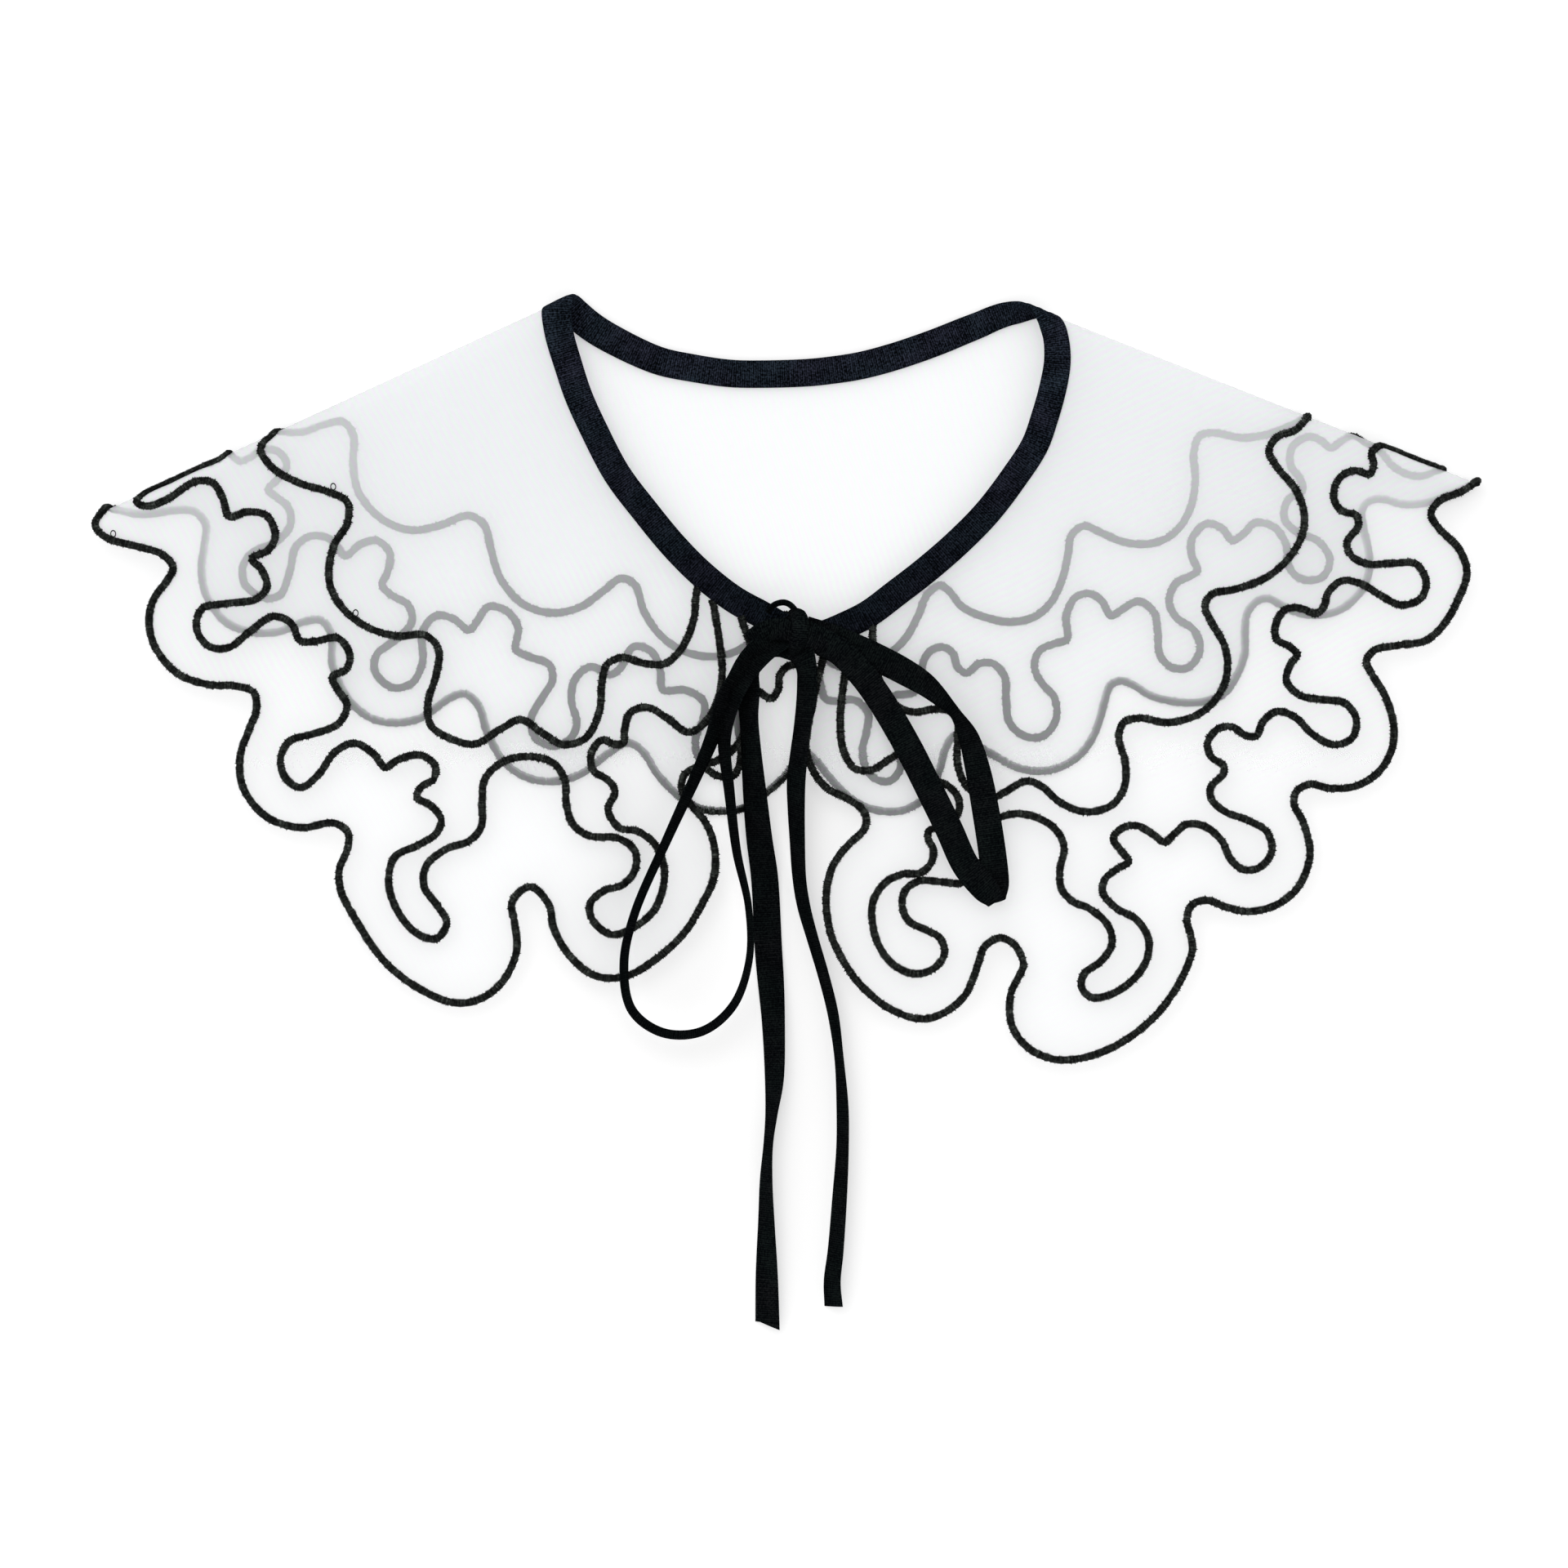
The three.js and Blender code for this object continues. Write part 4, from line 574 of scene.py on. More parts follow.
def wrapped_cord(name, line, half, top, under, lift, seed):
    """An embroidered cord: thread wrapped side by side over a core, with ragged edges."""
    rng = np.random.default_rng(seed)
    at, points, out, side = line
    half *= WRAP_SPREAD
    angles = np.linspace(0, 2 * math.pi, 8, endpoint=False)
    rise = np.cos(angles)
    rise = np.where(rise > 0, rise * top, rise * under)
    across = np.sin(angles) * half
    stitch = np.arange(len(at)) // 2
    crest = np.arange(len(at)) % 2 == 0
    count = stitch[-1] + 1
    fat = np.where(crest, 1.0, WRAP_VALLEY) + rng.normal(0, WRAP_UNEVEN, count)[stitch]
    left = 1 + rng.normal(0, WRAP_RAGGED, count)[stitch] * crest
    right = 1 + rng.normal(0, WRAP_RAGGED, count)[stitch] * crest
    widen = np.where(across[None, :] > 0, right[:, None], left[:, None]) * fat[:, None]
    risen = np.clip(np.minimum(at, at[-1] - at) / END_LENGTH, 0, 1)[:, None]
    heights = lift + rise[None, :] * fat[:, None]
    heights *= END_HEIGHT + (1 - END_HEIGHT) * risen
    widths = across[None, :] * widen
    rings = points[:, None] + out[:, None] * heights[..., None] + side[:, None] * widths[..., None]
    first = rings.size // 3
    fibres, fibre_faces, fibre_uvs = loose_fibres(rng, line, half, lift, first)
    loops, loop_faces = loose_loops(name, points, out, half, first + len(fibres))
    verts = np.vstack([rings.reshape(-1, 3), fibres, loops])
    uvs = np.vstack([thread_places(at, angles * half), fibre_uvs, loops[:, :2]])
    return add_object(name, verts, sweep(rings) + fibre_faces + loop_faces, uvs)


def loose_loops(name, points, out, half, first):
    """Small loops of thread that stand off a cord at the places listed for it."""
    verts, faces = [], []
    for x, y in LOOSE_LOOPS.get(name, ()):
        spot = np.array([x, y]) * UNIT
        k = int(np.argmin(np.linalg.norm(points[:, :2] - spot, axis=1) - points[:, 2]))
        middle = points[k] + out[k] * half
        middle[:2] += spot - points[k, :2]
        turns = np.linspace(0, 2 * math.pi, 16, endpoint=False)
        ring = np.column_stack([np.cos(turns), np.sin(turns) * 1.3, np.sin(turns) * 0.3])
        shape = [(1.0, -0.2), (1.2, 0.0), (1.0, 0.2), (0.8, 0.0)]
        rings = np.array(
            [[middle + (v * grow + (0, 0, up)) * LOOP_RADIUS for grow, up in shape] for v in ring]
        )
        faces += [tuple(first + len(verts) + i for i in face) for face in sweep(rings, True)]
        verts += rings.reshape(-1, 3).tolist()
    return np.array(verts).reshape(-1, 3), faces


def loose_fibres(rng, line, half, lift, first):
    """Short ends of thread that stand out from both edges of a cord."""
    at, points, out, side = line
    verts, faces, uvs = [], [], []
    for _ in range(int(at[-1] / bpy.context.scene.collar.fibre_gap)):
        k = int(rng.integers(2, len(at) - 2))
        way = side[k] * rng.choice([-1, 1]) + out[k] * rng.normal(0, 0.2)
        along = points[k + 1] - points[k - 1]
        along /= np.linalg.norm(along)
        way = way + along * rng.normal(0, 0.5)
        way /= np.linalg.norm(way)
        root = points[k] + out[k] * lift + way * half * 0.8
        tip = root + way * rng.uniform(0.35, 1.0) * MM
        a, b, c, d = range(first + len(verts), first + len(verts) + 4)
        wide = along * FIBRE_HALF
        verts += [root + wide, root - wide, root + out[k] * FIBRE_HALF * 1.5, tip]
        faces += [(a, b, c), (b, a, d), (c, b, d), (a, c, d)]
        uvs += [(at[k], 0)] * 4
    return np.array(verts), faces, np.array(uvs)


def tape_section(width, leaf, cup):
    """Cross section of one tape, (height, across), thicker at both woven edges."""
    places = np.linspace(-1, 1, 13)
    bow = cup * (places**2 - 1 / 3)
    thick = leaf / 2 * np.where(np.abs(places) > 0.84, 1.25, 1.0)
    thick[[0, -1]] *= 0.45
    above = np.column_stack([bow + thick, places * width / 2])
    below = np.column_stack([bow - thick, places * width / 2])[::-1]
    return np.vstack([above, below])


def neck_section(width, leaf):
    """Cross section of the tape folded over the neckline, open towards the cloth."""
    half = width / 2
    above = [(0.3, -1), (1.35, -0.99), (1.6, -0.7), (1.9, 0), (1.85, 0.6), (1.2, 0.93), (0, 1)]
    below = [(-h, a) for h, a in above[-2::-1]]
    mouth = [(-0.3, -0.9), (0.3, -0.9)]
    return np.array([(h * leaf, a * half) for h, a in above + below + mouth])


def tape_piece(name, line, section, slant=0.0, tip=None):
    """A tape swept along a line. Its ribs run across it, so its UV map is length and width.
    Where it turns over at a tip, its corners are drawn in."""
    at, points, out, side = line
    share = np.ones(len(at))
    if tip:
        away = np.linalg.norm(points[:, :2] / UNIT - tip, axis=1)
        share -= TIP_PINCH * np.exp(-((away / TIP_REACH) ** 2))
    wide = side * share[:, None]
    rise, across = out[:, None] * section[None, :, :1], wide[:, None] * section[None, :, 1:]
    rings = points[:, None] + rise + across
    forward = np.cross(out[-1], side[-1])
    rings[-1] -= forward * slant * section[:, 1:]
    uvs = thread_places(at, section[:, 1])
    return add_object(name, rings.reshape(-1, 3), sweep(rings), uvs)


def strip_line(rows, step, width=TAPE_WIDTH):
    """A strip of the bow as lengths, points, and directions out of its face and across it."""
    table = np.array(rows, float)
    tipped = np.radians(table[:, 5])
    half_high = width / 2 * np.sin(tipped) + TAPE_LEAF / 2 * np.cos(tipped)
    height = table[:, 2] * BOW_REST + half_high + table[:, 3] * TAPE_WIDTH
    spots = np.column_stack([table[:, 0] * UNIT, table[:, 1] * UNIT, height])
    turns = np.radians(table[:, 4:6]) * TAPE_WIDTH
    smooth = spline(np.column_stack([spots, turns]), steps=14)
    at, points, (angles,) = evenly(smooth[:, :3], [smooth[:, 3:] / TAPE_WIDTH], step)
    across, lean = angles[:, 0], angles[:, 1]
    level = np.cos(lean)
    wide = np.column_stack([np.cos(across) * level, np.sin(across) * level, np.sin(lean)])
    wide, out = cross_frames(points, wide)
    return at, points, -out, wide


# Shaders


def sums(operation, reflected=False):
    """An operator of Value that adds the Math node of that operation."""
    if reflected:
        return lambda self, other: self.finish.math(operation, other, self)
    return lambda self, other: self.finish.math(operation, self, other)


class Value:
    """A number in a material's nodes, so that shader sums read as ordinary arithmetic."""

    def __init__(self, finish, socket):
        self.finish = finish
        self.socket = socket

    __add__, __radd__ = sums("ADD"), sums("ADD", reflected=True)
    __sub__, __rsub__ = sums("SUBTRACT"), sums("SUBTRACT", reflected=True)
    __mul__, __rmul__ = sums("MULTIPLY"), sums("MULTIPLY", reflected=True)
    __truediv__, __rtruediv__ = sums("DIVIDE"), sums("DIVIDE", reflected=True)
    __pow__, __rpow__ = sums("POWER"), sums("POWER", reflected=True)


class Finish:
    """A material whose nodes are made by name."""

    def __init__(self, name):
        self.material = bpy.data.materials.new(name)
        self.material.use_nodes = True
        self.tree = self.material.node_tree
        self.shader = self.tree.nodes["Principled BSDF"]

    def node(self, kind, inputs=(), **settings):
        """Adds a node with its settings, and feeds its inputs with values or other outputs."""
        made = self.tree.nodes.new(kind)
        for key, value in settings.items():
            setattr(made, key, value)
        for key, value in dict(inputs).items():
            self.feed(made.inputs[key], value)
        return made

    def feed(self, socket, value):
        if isinstance(value, Value):
            self.tree.links.new(value.socket, socket)
        elif isinstance(value, bpy.types.NodeSocket):
            self.tree.links.new(value, socket)
        else:
            socket.default_value = value

    def math(self, operation, *terms):
        made = self.node("ShaderNodeMath", enumerate(terms), operation=operation)
        return Value(self, made.outputs[0])

    def clamped(self, value, low, high):
        return self.math("MINIMUM", self.math("MAXIMUM", value, low), high)

    def blend(self, factor, first, second):
        """Mixes two colours by a factor."""
        made = self.node("ShaderNodeMix", data_type="RGBA")
        self.feed(made.inputs[0], factor)
        self.feed(made.inputs[6], first)
        self.feed(made.inputs[7], second)
        return made.outputs[2]

    def thread_uv(self):
        """The distance along and across the cloth, cord or tape, in metres."""
        uv = self.node("ShaderNodeUVMap", uv_map="Thread").outputs[0]
        parts = self.node("ShaderNodeSeparateXYZ", {0: uv})
        return uv, Value(self, parts.outputs[0]), Value(self, parts.outputs[1])

    def place(self):
        """The distance towards the back of the neck and the height, in metres."""
        spot = self.node("ShaderNodeTexCoord").outputs["Object"]
        parts = self.node("ShaderNodeSeparateXYZ", {0: spot})
        return Value(self, parts.outputs[1]), Value(self, parts.outputs[2])

    def wave(self, length, pitch):
        """A sine wave along a length, one to a pitch."""
        return self.math("SINE", length * (2 * math.pi / pitch))

    def noise(self, vector, scale, detail=3.0, roughness=0.6):
        made = self.node(
            "ShaderNodeTexNoise",
            {"Vector": vector, "Scale": scale, "Detail": detail, "Roughness": roughness},
        )
        return Value(self, made.outputs[0])

    def scattered(self, number):
        """A random number from 0 to 1 for each value of a number."""
        made = self.node("ShaderNodeTexWhiteNoise", {"W": number}, noise_dimensions="1D")
        return Value(self, made.outputs[0])

    def bump(self, height, strength, distance):
        made = self.node("ShaderNodeBump", {"Strength": strength, "Distance": distance})
        self.feed(made.inputs["Height"], height)
        return made.outputs[0]

    def finish(self, **sockets):
        """Feeds the shader's own sockets, named with spaces as underscores."""
        for key, value in sockets.items():
            self.feed(self.shader.inputs[key.replace("_", " ")], value)
        return self.material


def organza_finish(look):
    """Sheer white weave with a faint green and violet shimmer. It covers more near the folds and
    towards the back of the neck, and a little unevenly."""
    made = Finish("organza_weave")
    uv, along, across = made.thread_uv()
    cloud = made.noise(uv, 55.0, 3.0)
    grain = made.noise(uv, 2600.0, 2.0)
    inward, height = made.place()
    near_fold = made.clamped((height - NEAR_FOLD) / FOLD_RISE, 0.0, 1.0)
    even = look.cloth_cover + made.clamped((inward - NEAR_NECK) * 1.8, -0.14, 0.1)
    cover = even + near_fold * 0.16 + (cloud - 0.5) * 0.06 + (grain - 0.5) * 0.03
    waver = (cloud - 0.5) * 9.0
    shimmer = made.math("SINE", along * 2500.0 + across * 900.0 + waver)
    shimmer = made.clamped(shimmer * 0.5 + 0.5, 0.0, 1.0)
    colour = Vector(look.cloth_colour)
    green = (*(colour * 0.89 + Vector((0, 0.1, 0.02))), 1)
    violet = (*(colour * 0.89 + Vector((0.08, 0, 0.11))), 1)
    weave = made.wave(along, WEAVE_PITCH) + made.wave(across, WEAVE_PITCH)
    return made.finish(
        Base_Color=made.blend(shimmer, green, violet),
        Roughness=0.5,
        Sheen_Weight=0.15,
        Alpha=made.clamped(cover, 0.0, 1.0),
        Normal=made.bump(weave * 0.5 + grain, 0.1, 0.05 * MM),
    )


def cord_finish(look):
    """Black embroidery thread with dark grey-green glints that change from stitch to stitch."""
    made = Finish("embroidery_thread")
    uv, along, _ = made.thread_uv()
    stitch = made.math("FLOOR", along / (look.stitch_pitch * 0.5))
    lucky = made.scattered(stitch)
    patches = made.noise(uv, 260.0, 3.0)
    flecks = made.noise(uv, 1200.0, 2.0)
    raw = lucky * 0.42 + (patches - 0.5) * 1.6 + (flecks - 0.5) * 1.5 + 0.12
    glint = made.clamped(raw, 0.0, 1.0) ** 2.4
    strands = made.wave(along, look.stitch_pitch / 3)
    return made.finish(
        Base_Color=made.blend(glint, (*look.thread_colour, 1), (*look.thread_glint, 1)),
        Roughness=0.55,
        Specular_IOR_Level=0.05,
        Normal=made.bump(strands * 0.5 + patches, 0.5, 0.06 * MM),
    )


def tape_finish(name, look, lit_colour, lit=1.0, back_of_neck_light=0.0):
    """Blue-black ribbed tape with fine ribs across it. Painted sheen mixes its dark colour
    towards a lit colour on the ribs, fibres, specks and in broad patches, and painted light makes
    this stronger towards the back of the neck."""
    made = Finish(name)
    uv, along, _ = made.thread_uv()
    ribs = made.wave(along, look.rib_pitch)
    broad = made.wave(along, look.rib_pitch * 2)
    fibres = made.noise(uv, 3200.0, 2.0)
    patchy = made.noise(uv, 150.0, 3.0)
    speck = made.noise(uv, 1300.0, 2.0)
    inward, _ = made.place()
    # Painted light: more of the lit colour towards the back of the neck
    painted_light = made.clamped((inward - NEAR_NECK) * 12.0, 0.0, 1.0) * back_of_neck_light + lit
    grain = ribs * 0.22 + broad * 0.07 + (fibres - 0.5) * 0.8 + (speck - 0.5) * 2.6
    # Share of the lit colour: painted sheen times painted light
    lit_share = made.clamped(grain + (patchy - 0.5) * 1.0 + 0.26, 0.0, 1.0) * painted_light
    red, green, blue = lit_colour
    teal = (red * 0.9, green * 1.06, blue * 1.03, 1)
    plum = (red * 1.07, green * 0.96, blue * 1.05, 1)
    tint = made.clamped((made.noise(uv, 45.0, 1.0) - 0.5) * 5.0 + 0.5, 0.0, 1.0)
    return made.finish(
        Base_Color=made.blend(lit_share, (*look.tape_colour, 1), made.blend(tint, teal, plum)),
        Roughness=0.78,
        Specular_IOR_Level=0.0,
        Normal=made.bump(ribs * 0.6 + fibres * 0.5, 0.6, 0.08 * MM),
    )


def bow_finish():
    """The finish that all pieces of the bow share, with less painted sheen than the tape at the
    neck.
    """
    look = bpy.context.scene.collar
    name = "tape_ribs"
    return bpy.data.materials.get(name) or tape_finish(name, look, look.bow_lit_colour)


# Settings, operators and panel


def colour_setting(name, description, default):
    """A colour that a user may change."""
    return FloatVectorProperty(
        name=name, description=description, default=default, min=0.0, max=1.0, subtype="COLOR"
    )


def length_setting(name, description, default, low, high):
    """A small length that a user may change."""
    return FloatProperty(
        name=name,
        description=description,
        default=default,
        min=low,
        max=high,
        precision=5,
        unit="LENGTH",
    )


class CollarLook(bpy.types.PropertyGroup):
    """What a user would change on the dressed collar."""

    cloth_cover: FloatProperty(
        name="Cloth cover",
        description="Share of what lies behind one layer of organza that it hides",
        default=0.36,
        min=0.1,
        max=1.0,
        subtype="FACTOR",
    )
    cloth_colour: colour_setting("Cloth colour", "Colour of the organza", (0.94, 0.95, 0.955))
    thread_colour: colour_setting(
        "Thread colour", "Dark side of the embroidery thread", (0.002, 0.0024, 0.0022)
    )
    thread_glint: colour_setting(
        "Thread glint", "Lit side of the embroidery thread", (0.105, 0.118, 0.106)
    )
    tape_colour: colour_setting(
        "Tape colour", "Dark side of the ribbed tape", (0.0012, 0.0016, 0.0022)
    )
    # The lit colours of the tapes are painted sheen and painted light
    tape_lit_colour: colour_setting("Tape lit colour", "Lit side of the ribbed tape", (0.031, 0.038, 0.056))
    bow_lit_colour: colour_setting(
        "Bow lit colour", "Lit side of the tape of the bow", (0.0115, 0.0138, 0.0135)
    )
    stitch_pitch: length_setting(
        "Stitch pitch", "Distance from one wrap of thread to the next", 0.7 * MM, 0.3 * MM, 3 * MM
    )
    rib_pitch: length_setting(
        "Rib pitch", "Distance from one rib of the tape to the next", 0.8 * MM, 0.2 * MM, 3 * MM
    )
    fibre_gap: length_setting(
        "Fibre gap", "Mean distance between loose fibres along a cord", 1.1 * MM, 0.5 * MM, 50 * MM
    )
    ripple: length_setting(
        "Ripple", "Height of the unevenness of the front layer", 0.22 * MM, 0.0, 0.3 * MM
    )
    lamp_power: FloatProperty(
        name="Lamp power",
        description="Strength of the large soft lamp",
        default=17.0,
        min=0.0,
        unit="POWER",
    )
    surround: FloatProperty(
        name="Surround light",
        description="Strength of the even white light all round",
        default=0.8,
        min=0.0,
    )
    camera_height: FloatProperty(
        name="Camera height",
        description="Height of the camera over the collar",
        default=2.2,
        min=0.5,
        max=10.0,
        unit="LENGTH",
    )


class CollarOperator:
    """What the operators share."""

    bl_options = {"REGISTER", "UNDO"}

    @property
    def look(self):
        return bpy.context.scene.collar


class COLLAR_OT_hem_cord(CollarOperator, bpy.types.Operator):
    """Adds the wrapped cord along the scalloped hem"""

    bl_idname = "collar.hem_cord"
    bl_label = "Hem cord"

    def execute(self, context):
        line = cloth_line(HEM_ROUTE, self.look.stitch_pitch / 2)
        lift = BACK_MIDDLE - HEM_RADIUS
        piece = wrapped_cord("hem_cord", line, HEM_RADIUS, HEM_RADIUS, HEM_RADIUS * 0.98, lift, 11)
        dress(piece, ["edge_cord"], cord_finish(self.look))
        return {"FINISHED"}


class COLLAR_OT_scroll_cords(CollarOperator, bpy.types.Operator):
    """Adds the two cords embroidered through the cloth inside the hem"""

    bl_idname = "collar.scroll_cords"
    bl_label = "Scroll cords"

    def execute(self, context):
        finish = bpy.data.materials["embroidery_thread"]
        for name, route, node, seed in (
            ("meander_line", MEANDER_ROUTE, "meander_cord", 23),
            ("inner_line", INNER_ROUTE, "inner_cord", 37),
        ):
            line = cloth_line(route, self.look.stitch_pitch / 2)
            piece = wrapped_cord(name, line, LINE_WIDTH / 2, LINE_HEIGHT, LINE_UNDER, 0.0, seed)
            dress(piece, [node], finish)
        return {"FINISHED"}


class COLLAR_OT_neck_tape(CollarOperator, bpy.types.Operator):
    """Adds the ribbed tape folded over the neckline"""

    bl_idname = "collar.neck_tape"
    bl_label = "Neck tape"

    def execute(self, context):
        spread = spread_route(NECK_ROUTE)
        at, spread, _ = evenly(spread[moved(spread)], [], NECK_STEP)
        forward = unit_rows(np.gradient(spread, axis=0))
        side = np.column_stack([-forward[:, 1], forward[:, 0]])
        height, across = neck_section(TAPE_WIDTH, TAPE_LEAF).T
        share = 1.0 + sum(
            change * np.exp(-(np.linalg.norm(spread / UNIT - (x, y), axis=1) / reach) ** 2)
            for x, y, reach, change in NECK_CHANGES
        )
        places = spread[:, None] + side[:, None] * (across[None, :] * share[:, None])[..., None]
        points, out = fold_up(places.reshape(-1, 2))
        points += out * np.tile(height, len(spread))[:, None]
        rings = points.reshape(len(spread), -1, 3)
        piece = add_object("neck_tape", points, sweep(rings), thread_places(at, across))
        # Painted light: the neck tape is half lit, and more lit towards the back of the neck
        finish = tape_finish("neck_ribs", self.look, self.look.tape_lit_colour, lit=0.5, back_of_neck_light=0.5)
        dress(piece, ["neck_binding"], finish)
        return {"FINISHED"}


class COLLAR_OT_organza(CollarOperator, bpy.types.Operator):
    """Adds the sheer cloth, cut flat and folded over both shoulders"""

    bl_idname = "collar.organza"
    bl_label = "Organza"

    def execute(self, context):
        edge = self.cut_edge()
        flat, triangles = self.cut_cloth(edge)
        piece = add_object("organza_cloth", fold_up(flat)[0], triangles, flat)
        dress(piece, ["organza_panel"], organza_finish(self.look))
        return {"FINISHED"}

    def cut_edge(self):
        """The edge of the cloth spread flat: out along the hem and back along the neckline."""
        hem, neck = spread_route(HEM_ROUTE), spread_route(NECK_ROUTE)
        return evenly(np.vstack([hem, neck[::-1], hem[:1]]), [], EDGE_STEP)[1][:-1]

    def cut_cloth(self, edge):
        """Triangles over the cut cloth, with rows of points where it rolls over a fold."""
        low, high = edge.min(axis=0), edge.max(axis=0)
        steps = [np.arange(low[i], high[i], CLOTH_GRID) for i in (0, 1)]
        grid = np.stack(np.meshgrid(*steps), axis=-1)
        grid[1::2, :, 0] += CLOTH_GRID / 2
        grid = grid.reshape(-1, 2)
        right = grid[:, 0] >= 0
        deep = np.where(right, RIGHT_FOLD.depth(grid), LEFT_FOLD.depth(grid))
        rolling = deep < ROLL * (1 + ROLL_MARGIN)
        rolling &= deep > ROLL * (1 - ROLL_MARGIN - math.pi)
        inner = [grid[~rolling]]
        for fold, way in ((LEFT_FOLD, -1), (RIGHT_FOLD, 1)):
            along = np.array([fold.out[1], -fold.out[0]]) * way
            for i in range(ROLL_ROWS + 1):
                deep = ROLL - math.pi * ROLL * i / ROLL_ROWS
                lengths = np.arange(-30 * MM, 0.8 * SPAN, CLOTH_GRID) + (i % 2) * CLOTH_GRID / 2
                inner.append(fold.start - fold.out * deep + np.outer(lengths, along))
        inner = np.vstack(inner)
        tree = KDTree(len(edge))
        for i, (x, y) in enumerate(edge):
            tree.insert((x, y, 0), i)
        tree.balance()
        clear = [tree.find((x, y, 0))[2] > EDGE_CLEAR for x, y in inner]
        points = np.vstack([edge, inner[clear]])
        loop = list(range(len(edge)))
        made = delaunay_2d_cdt([Vector(p) for p in points], [], [loop], 1, 1e-7)
        used, triangles = np.unique(np.array(made[2]), return_inverse=True)
        flat = np.array([tuple(p) for p in made[0]])[used]
        return flat, triangles.reshape(-1, 3).tolist()


class COLLAR_OT_bow_knot(CollarOperator, bpy.types.Operator):
    """Adds the wrapped knot at the centre front and the small turn of tape over it"""

    bl_idname = "collar.bow_knot"
    bl_label = "Bow knot"

    def execute(self, context):
        self.add_pad(context)
        for name, node, rows, width, share, cup in (
            ("knot_wrap", "bow_knot", KNOT_WRAP, TAPE_WIDTH, 0.8, 1.4 * MM),
            ("knot_cross", "bow_knot", KNOT_CROSS, TAPE_WIDTH, 0.62, 1.1 * MM),
            ("small_turn", "knot_turn", SMALL_TURN, TURN_WIDTH, 1.0, 0.0),
        ):
            line = strip_line(rows, KNOT_STEP, width)
            piece = tape_piece(name, line, tape_section(width * share, BAND_LEAF, cup))
            dress(piece, [node], bow_finish())
        return {"FINISHED"}

    def add_pad(self, context):
        """The body of the knot, a squared ball turned askew where the solid knot is."""
        low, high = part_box("bow_knot")
        bpy.ops.object.select_all(action="DESELECT")
        bpy.ops.mesh.primitive_uv_sphere_add(segments=48, ring_count=28, radius=0.5)
        pad = context.object
        pad.name = "knot_pad"
        spots = np.zeros(len(pad.data.vertices) * 3)
        pad.data.vertices.foreach_get("co", spots)
        spots = spots.reshape(-1, 3)
        squared = np.sign(spots) * (np.abs(spots) * 2) ** 0.8 / 2 * np.array(KNOT_PAD)
        cos, sin = math.cos(KNOT_ASKEW), math.sin(KNOT_ASKEW)
        turned = squared @ np.array([(cos, sin, 0), (-sin, cos, 0), (0, 0, 1)])
        placed = turned + np.array((low + high) / 2)
        pad.data.vertices.foreach_set("co", placed.ravel())
        add_uvs(pad.data, squared[:, [1, 0]])
        bpy.ops.object.shade_smooth()
        dress(pad, ["bow_knot"], bow_finish())


class COLLAR_OT_bow_strips(CollarOperator, bpy.types.Operator):
    """Adds the two loops and the two tails of the bow"""

    bl_idname = "collar.bow_strips"
    bl_label = "Bow loops and tails"

    def execute(self, context):
        section = tape_section(TAPE_WIDTH, TAPE_LEAF, 0.35 * MM)
        for name, rows, slant, tip in (
            ("left_loop", LEFT_LOOP, 0.0, None),
            ("right_loop", RIGHT_LOOP, 0.0, (153, -66)),
            ("left_tail", LEFT_TAIL, TAIL_SLANT, None),
            ("right_tail", RIGHT_TAIL, 0.0, None),
        ):
            line = strip_line(rows, STRIP_STEP)
            piece = tape_piece(name + "_tape", line, section, slant, tip)
            dress(piece, [name], bow_finish())
        return {"FINISHED"}


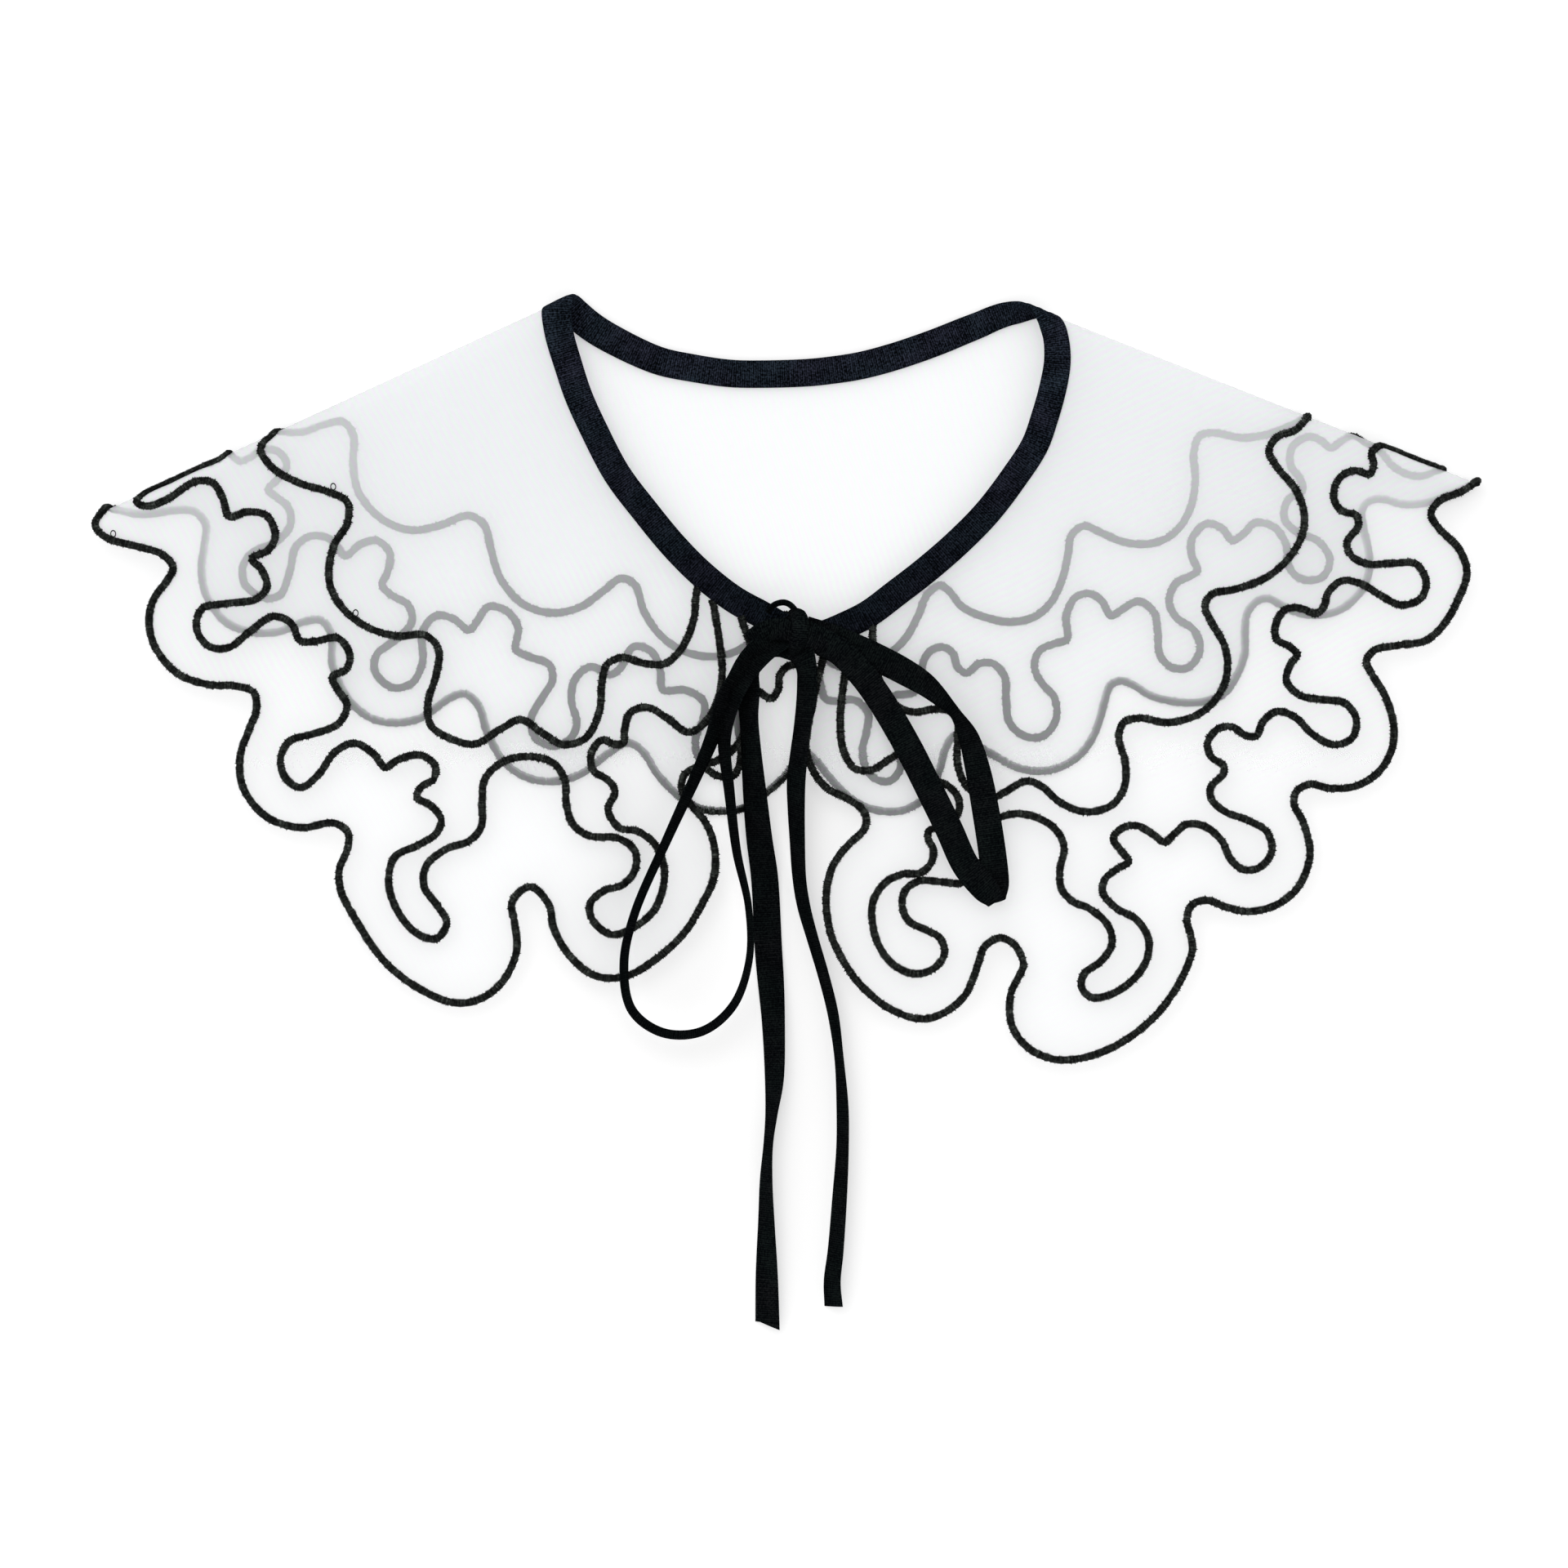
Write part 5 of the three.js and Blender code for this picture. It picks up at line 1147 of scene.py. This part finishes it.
class COLLAR_OT_stage(CollarOperator, bpy.types.Operator):
    """Adds the pale floor, the large soft lamp and the camera straight above"""

    bl_idname = "collar.stage"
    bl_label = "Stage"

    def execute(self, context):
        bpy.ops.object.select_all(action="DESELECT")
        bpy.ops.mesh.primitive_plane_add(size=FLOOR_SIZE, location=(0, 0, -FLOOR_DROP))
        floor = context.object
        floor.name = "floor"
        paper = Finish("pale_floor")
        # The floor also glows, as a light table does, so that shadows stay soft
        floor.data.materials.append(
            paper.finish(
                Base_Color=(0.68, 0.68, 0.68, 1),
                Roughness=0.9,
                Specular_IOR_Level=0.1,
                Emission_Color=(1, 1, 1, 1),
                Emission_Strength=0.42,
            )
        )
        self.add_lamp(context)
        world = bpy.data.worlds.new("surround")
        world.use_nodes = True
        backdrop = world.node_tree.nodes["Background"]
        backdrop.inputs["Color"].default_value = (1, 1, 1, 1)
        backdrop.inputs["Strength"].default_value = self.look.surround
        context.scene.world = world
        context.scene.view_settings.view_transform = "Standard"
        self.add_camera(context)
        return {"FINISHED"}

    def add_lamp(self, context):
        bpy.ops.object.light_add(type="AREA", location=LAMP_PLACE)
        lamp = context.object
        lamp.name = "soft_lamp"
        lamp.data.shape = "DISK"
        lamp.data.size = LAMP_SIZE
        lamp.data.energy = self.look.lamp_power
        lamp.rotation_euler = (-Vector(LAMP_PLACE)).to_track_quat("-Z", "Y").to_euler()

    def add_camera(self, context):
        """The photograph looks straight down, and takes in a little more than the span."""
        wide = PHOTO_SIDE / PHOTO_SCALE * UNIT
        right = (PHOTO_SIDE / 2 - PHOTO_ORIGIN[0]) / PHOTO_SCALE * UNIT
        up = (PHOTO_ORIGIN[1] - PHOTO_SIDE / 2) / PHOTO_SCALE * UNIT
        bpy.ops.object.camera_add(
            location=(right, up, self.look.camera_height), rotation=(0, 0, 0)
        )
        camera = context.object
        camera.name = "photo_camera"
        focus = self.look.camera_height - BOW_REST / 2
        camera.data.lens = camera.data.sensor_width * focus / wide
        camera.data.clip_end = 50
        context.scene.camera = camera


class COLLAR_PT_panel(bpy.types.Panel):
    """Lists the pieces of the collar"""

    bl_label = "Collar"
    bl_idname = "COLLAR_PT_panel"
    bl_space_type = "VIEW_3D"
    bl_region_type = "UI"
    bl_category = "Collar"

    def draw(self, context):
        for name in CollarLook.__annotations__:
            self.layout.prop(context.scene.collar, name)
        for operator in OPERATORS:
            self.layout.operator(operator.bl_idname)


OPERATORS = (
    COLLAR_OT_hem_cord,
    COLLAR_OT_scroll_cords,
    COLLAR_OT_neck_tape,
    COLLAR_OT_organza,
    COLLAR_OT_bow_knot,
    COLLAR_OT_bow_strips,
    COLLAR_OT_stage,
)
CLASSES = (CollarLook, *OPERATORS, COLLAR_PT_panel)


def register():
    for cls in CLASSES:
        bpy.utils.register_class(cls)
    bpy.types.Scene.collar = PointerProperty(type=CollarLook)


def unregister():
    del bpy.types.Scene.collar
    for cls in reversed(CLASSES):
        bpy.utils.unregister_class(cls)


def main():
    register()
    bpy.ops.collar.hem_cord()
    bpy.ops.collar.scroll_cords()
    bpy.ops.collar.neck_tape()
    bpy.ops.collar.organza()
    bpy.ops.collar.bow_knot()
    bpy.ops.collar.bow_strips()
    bpy.ops.collar.stage()


if __name__ == "__main__":
    main()
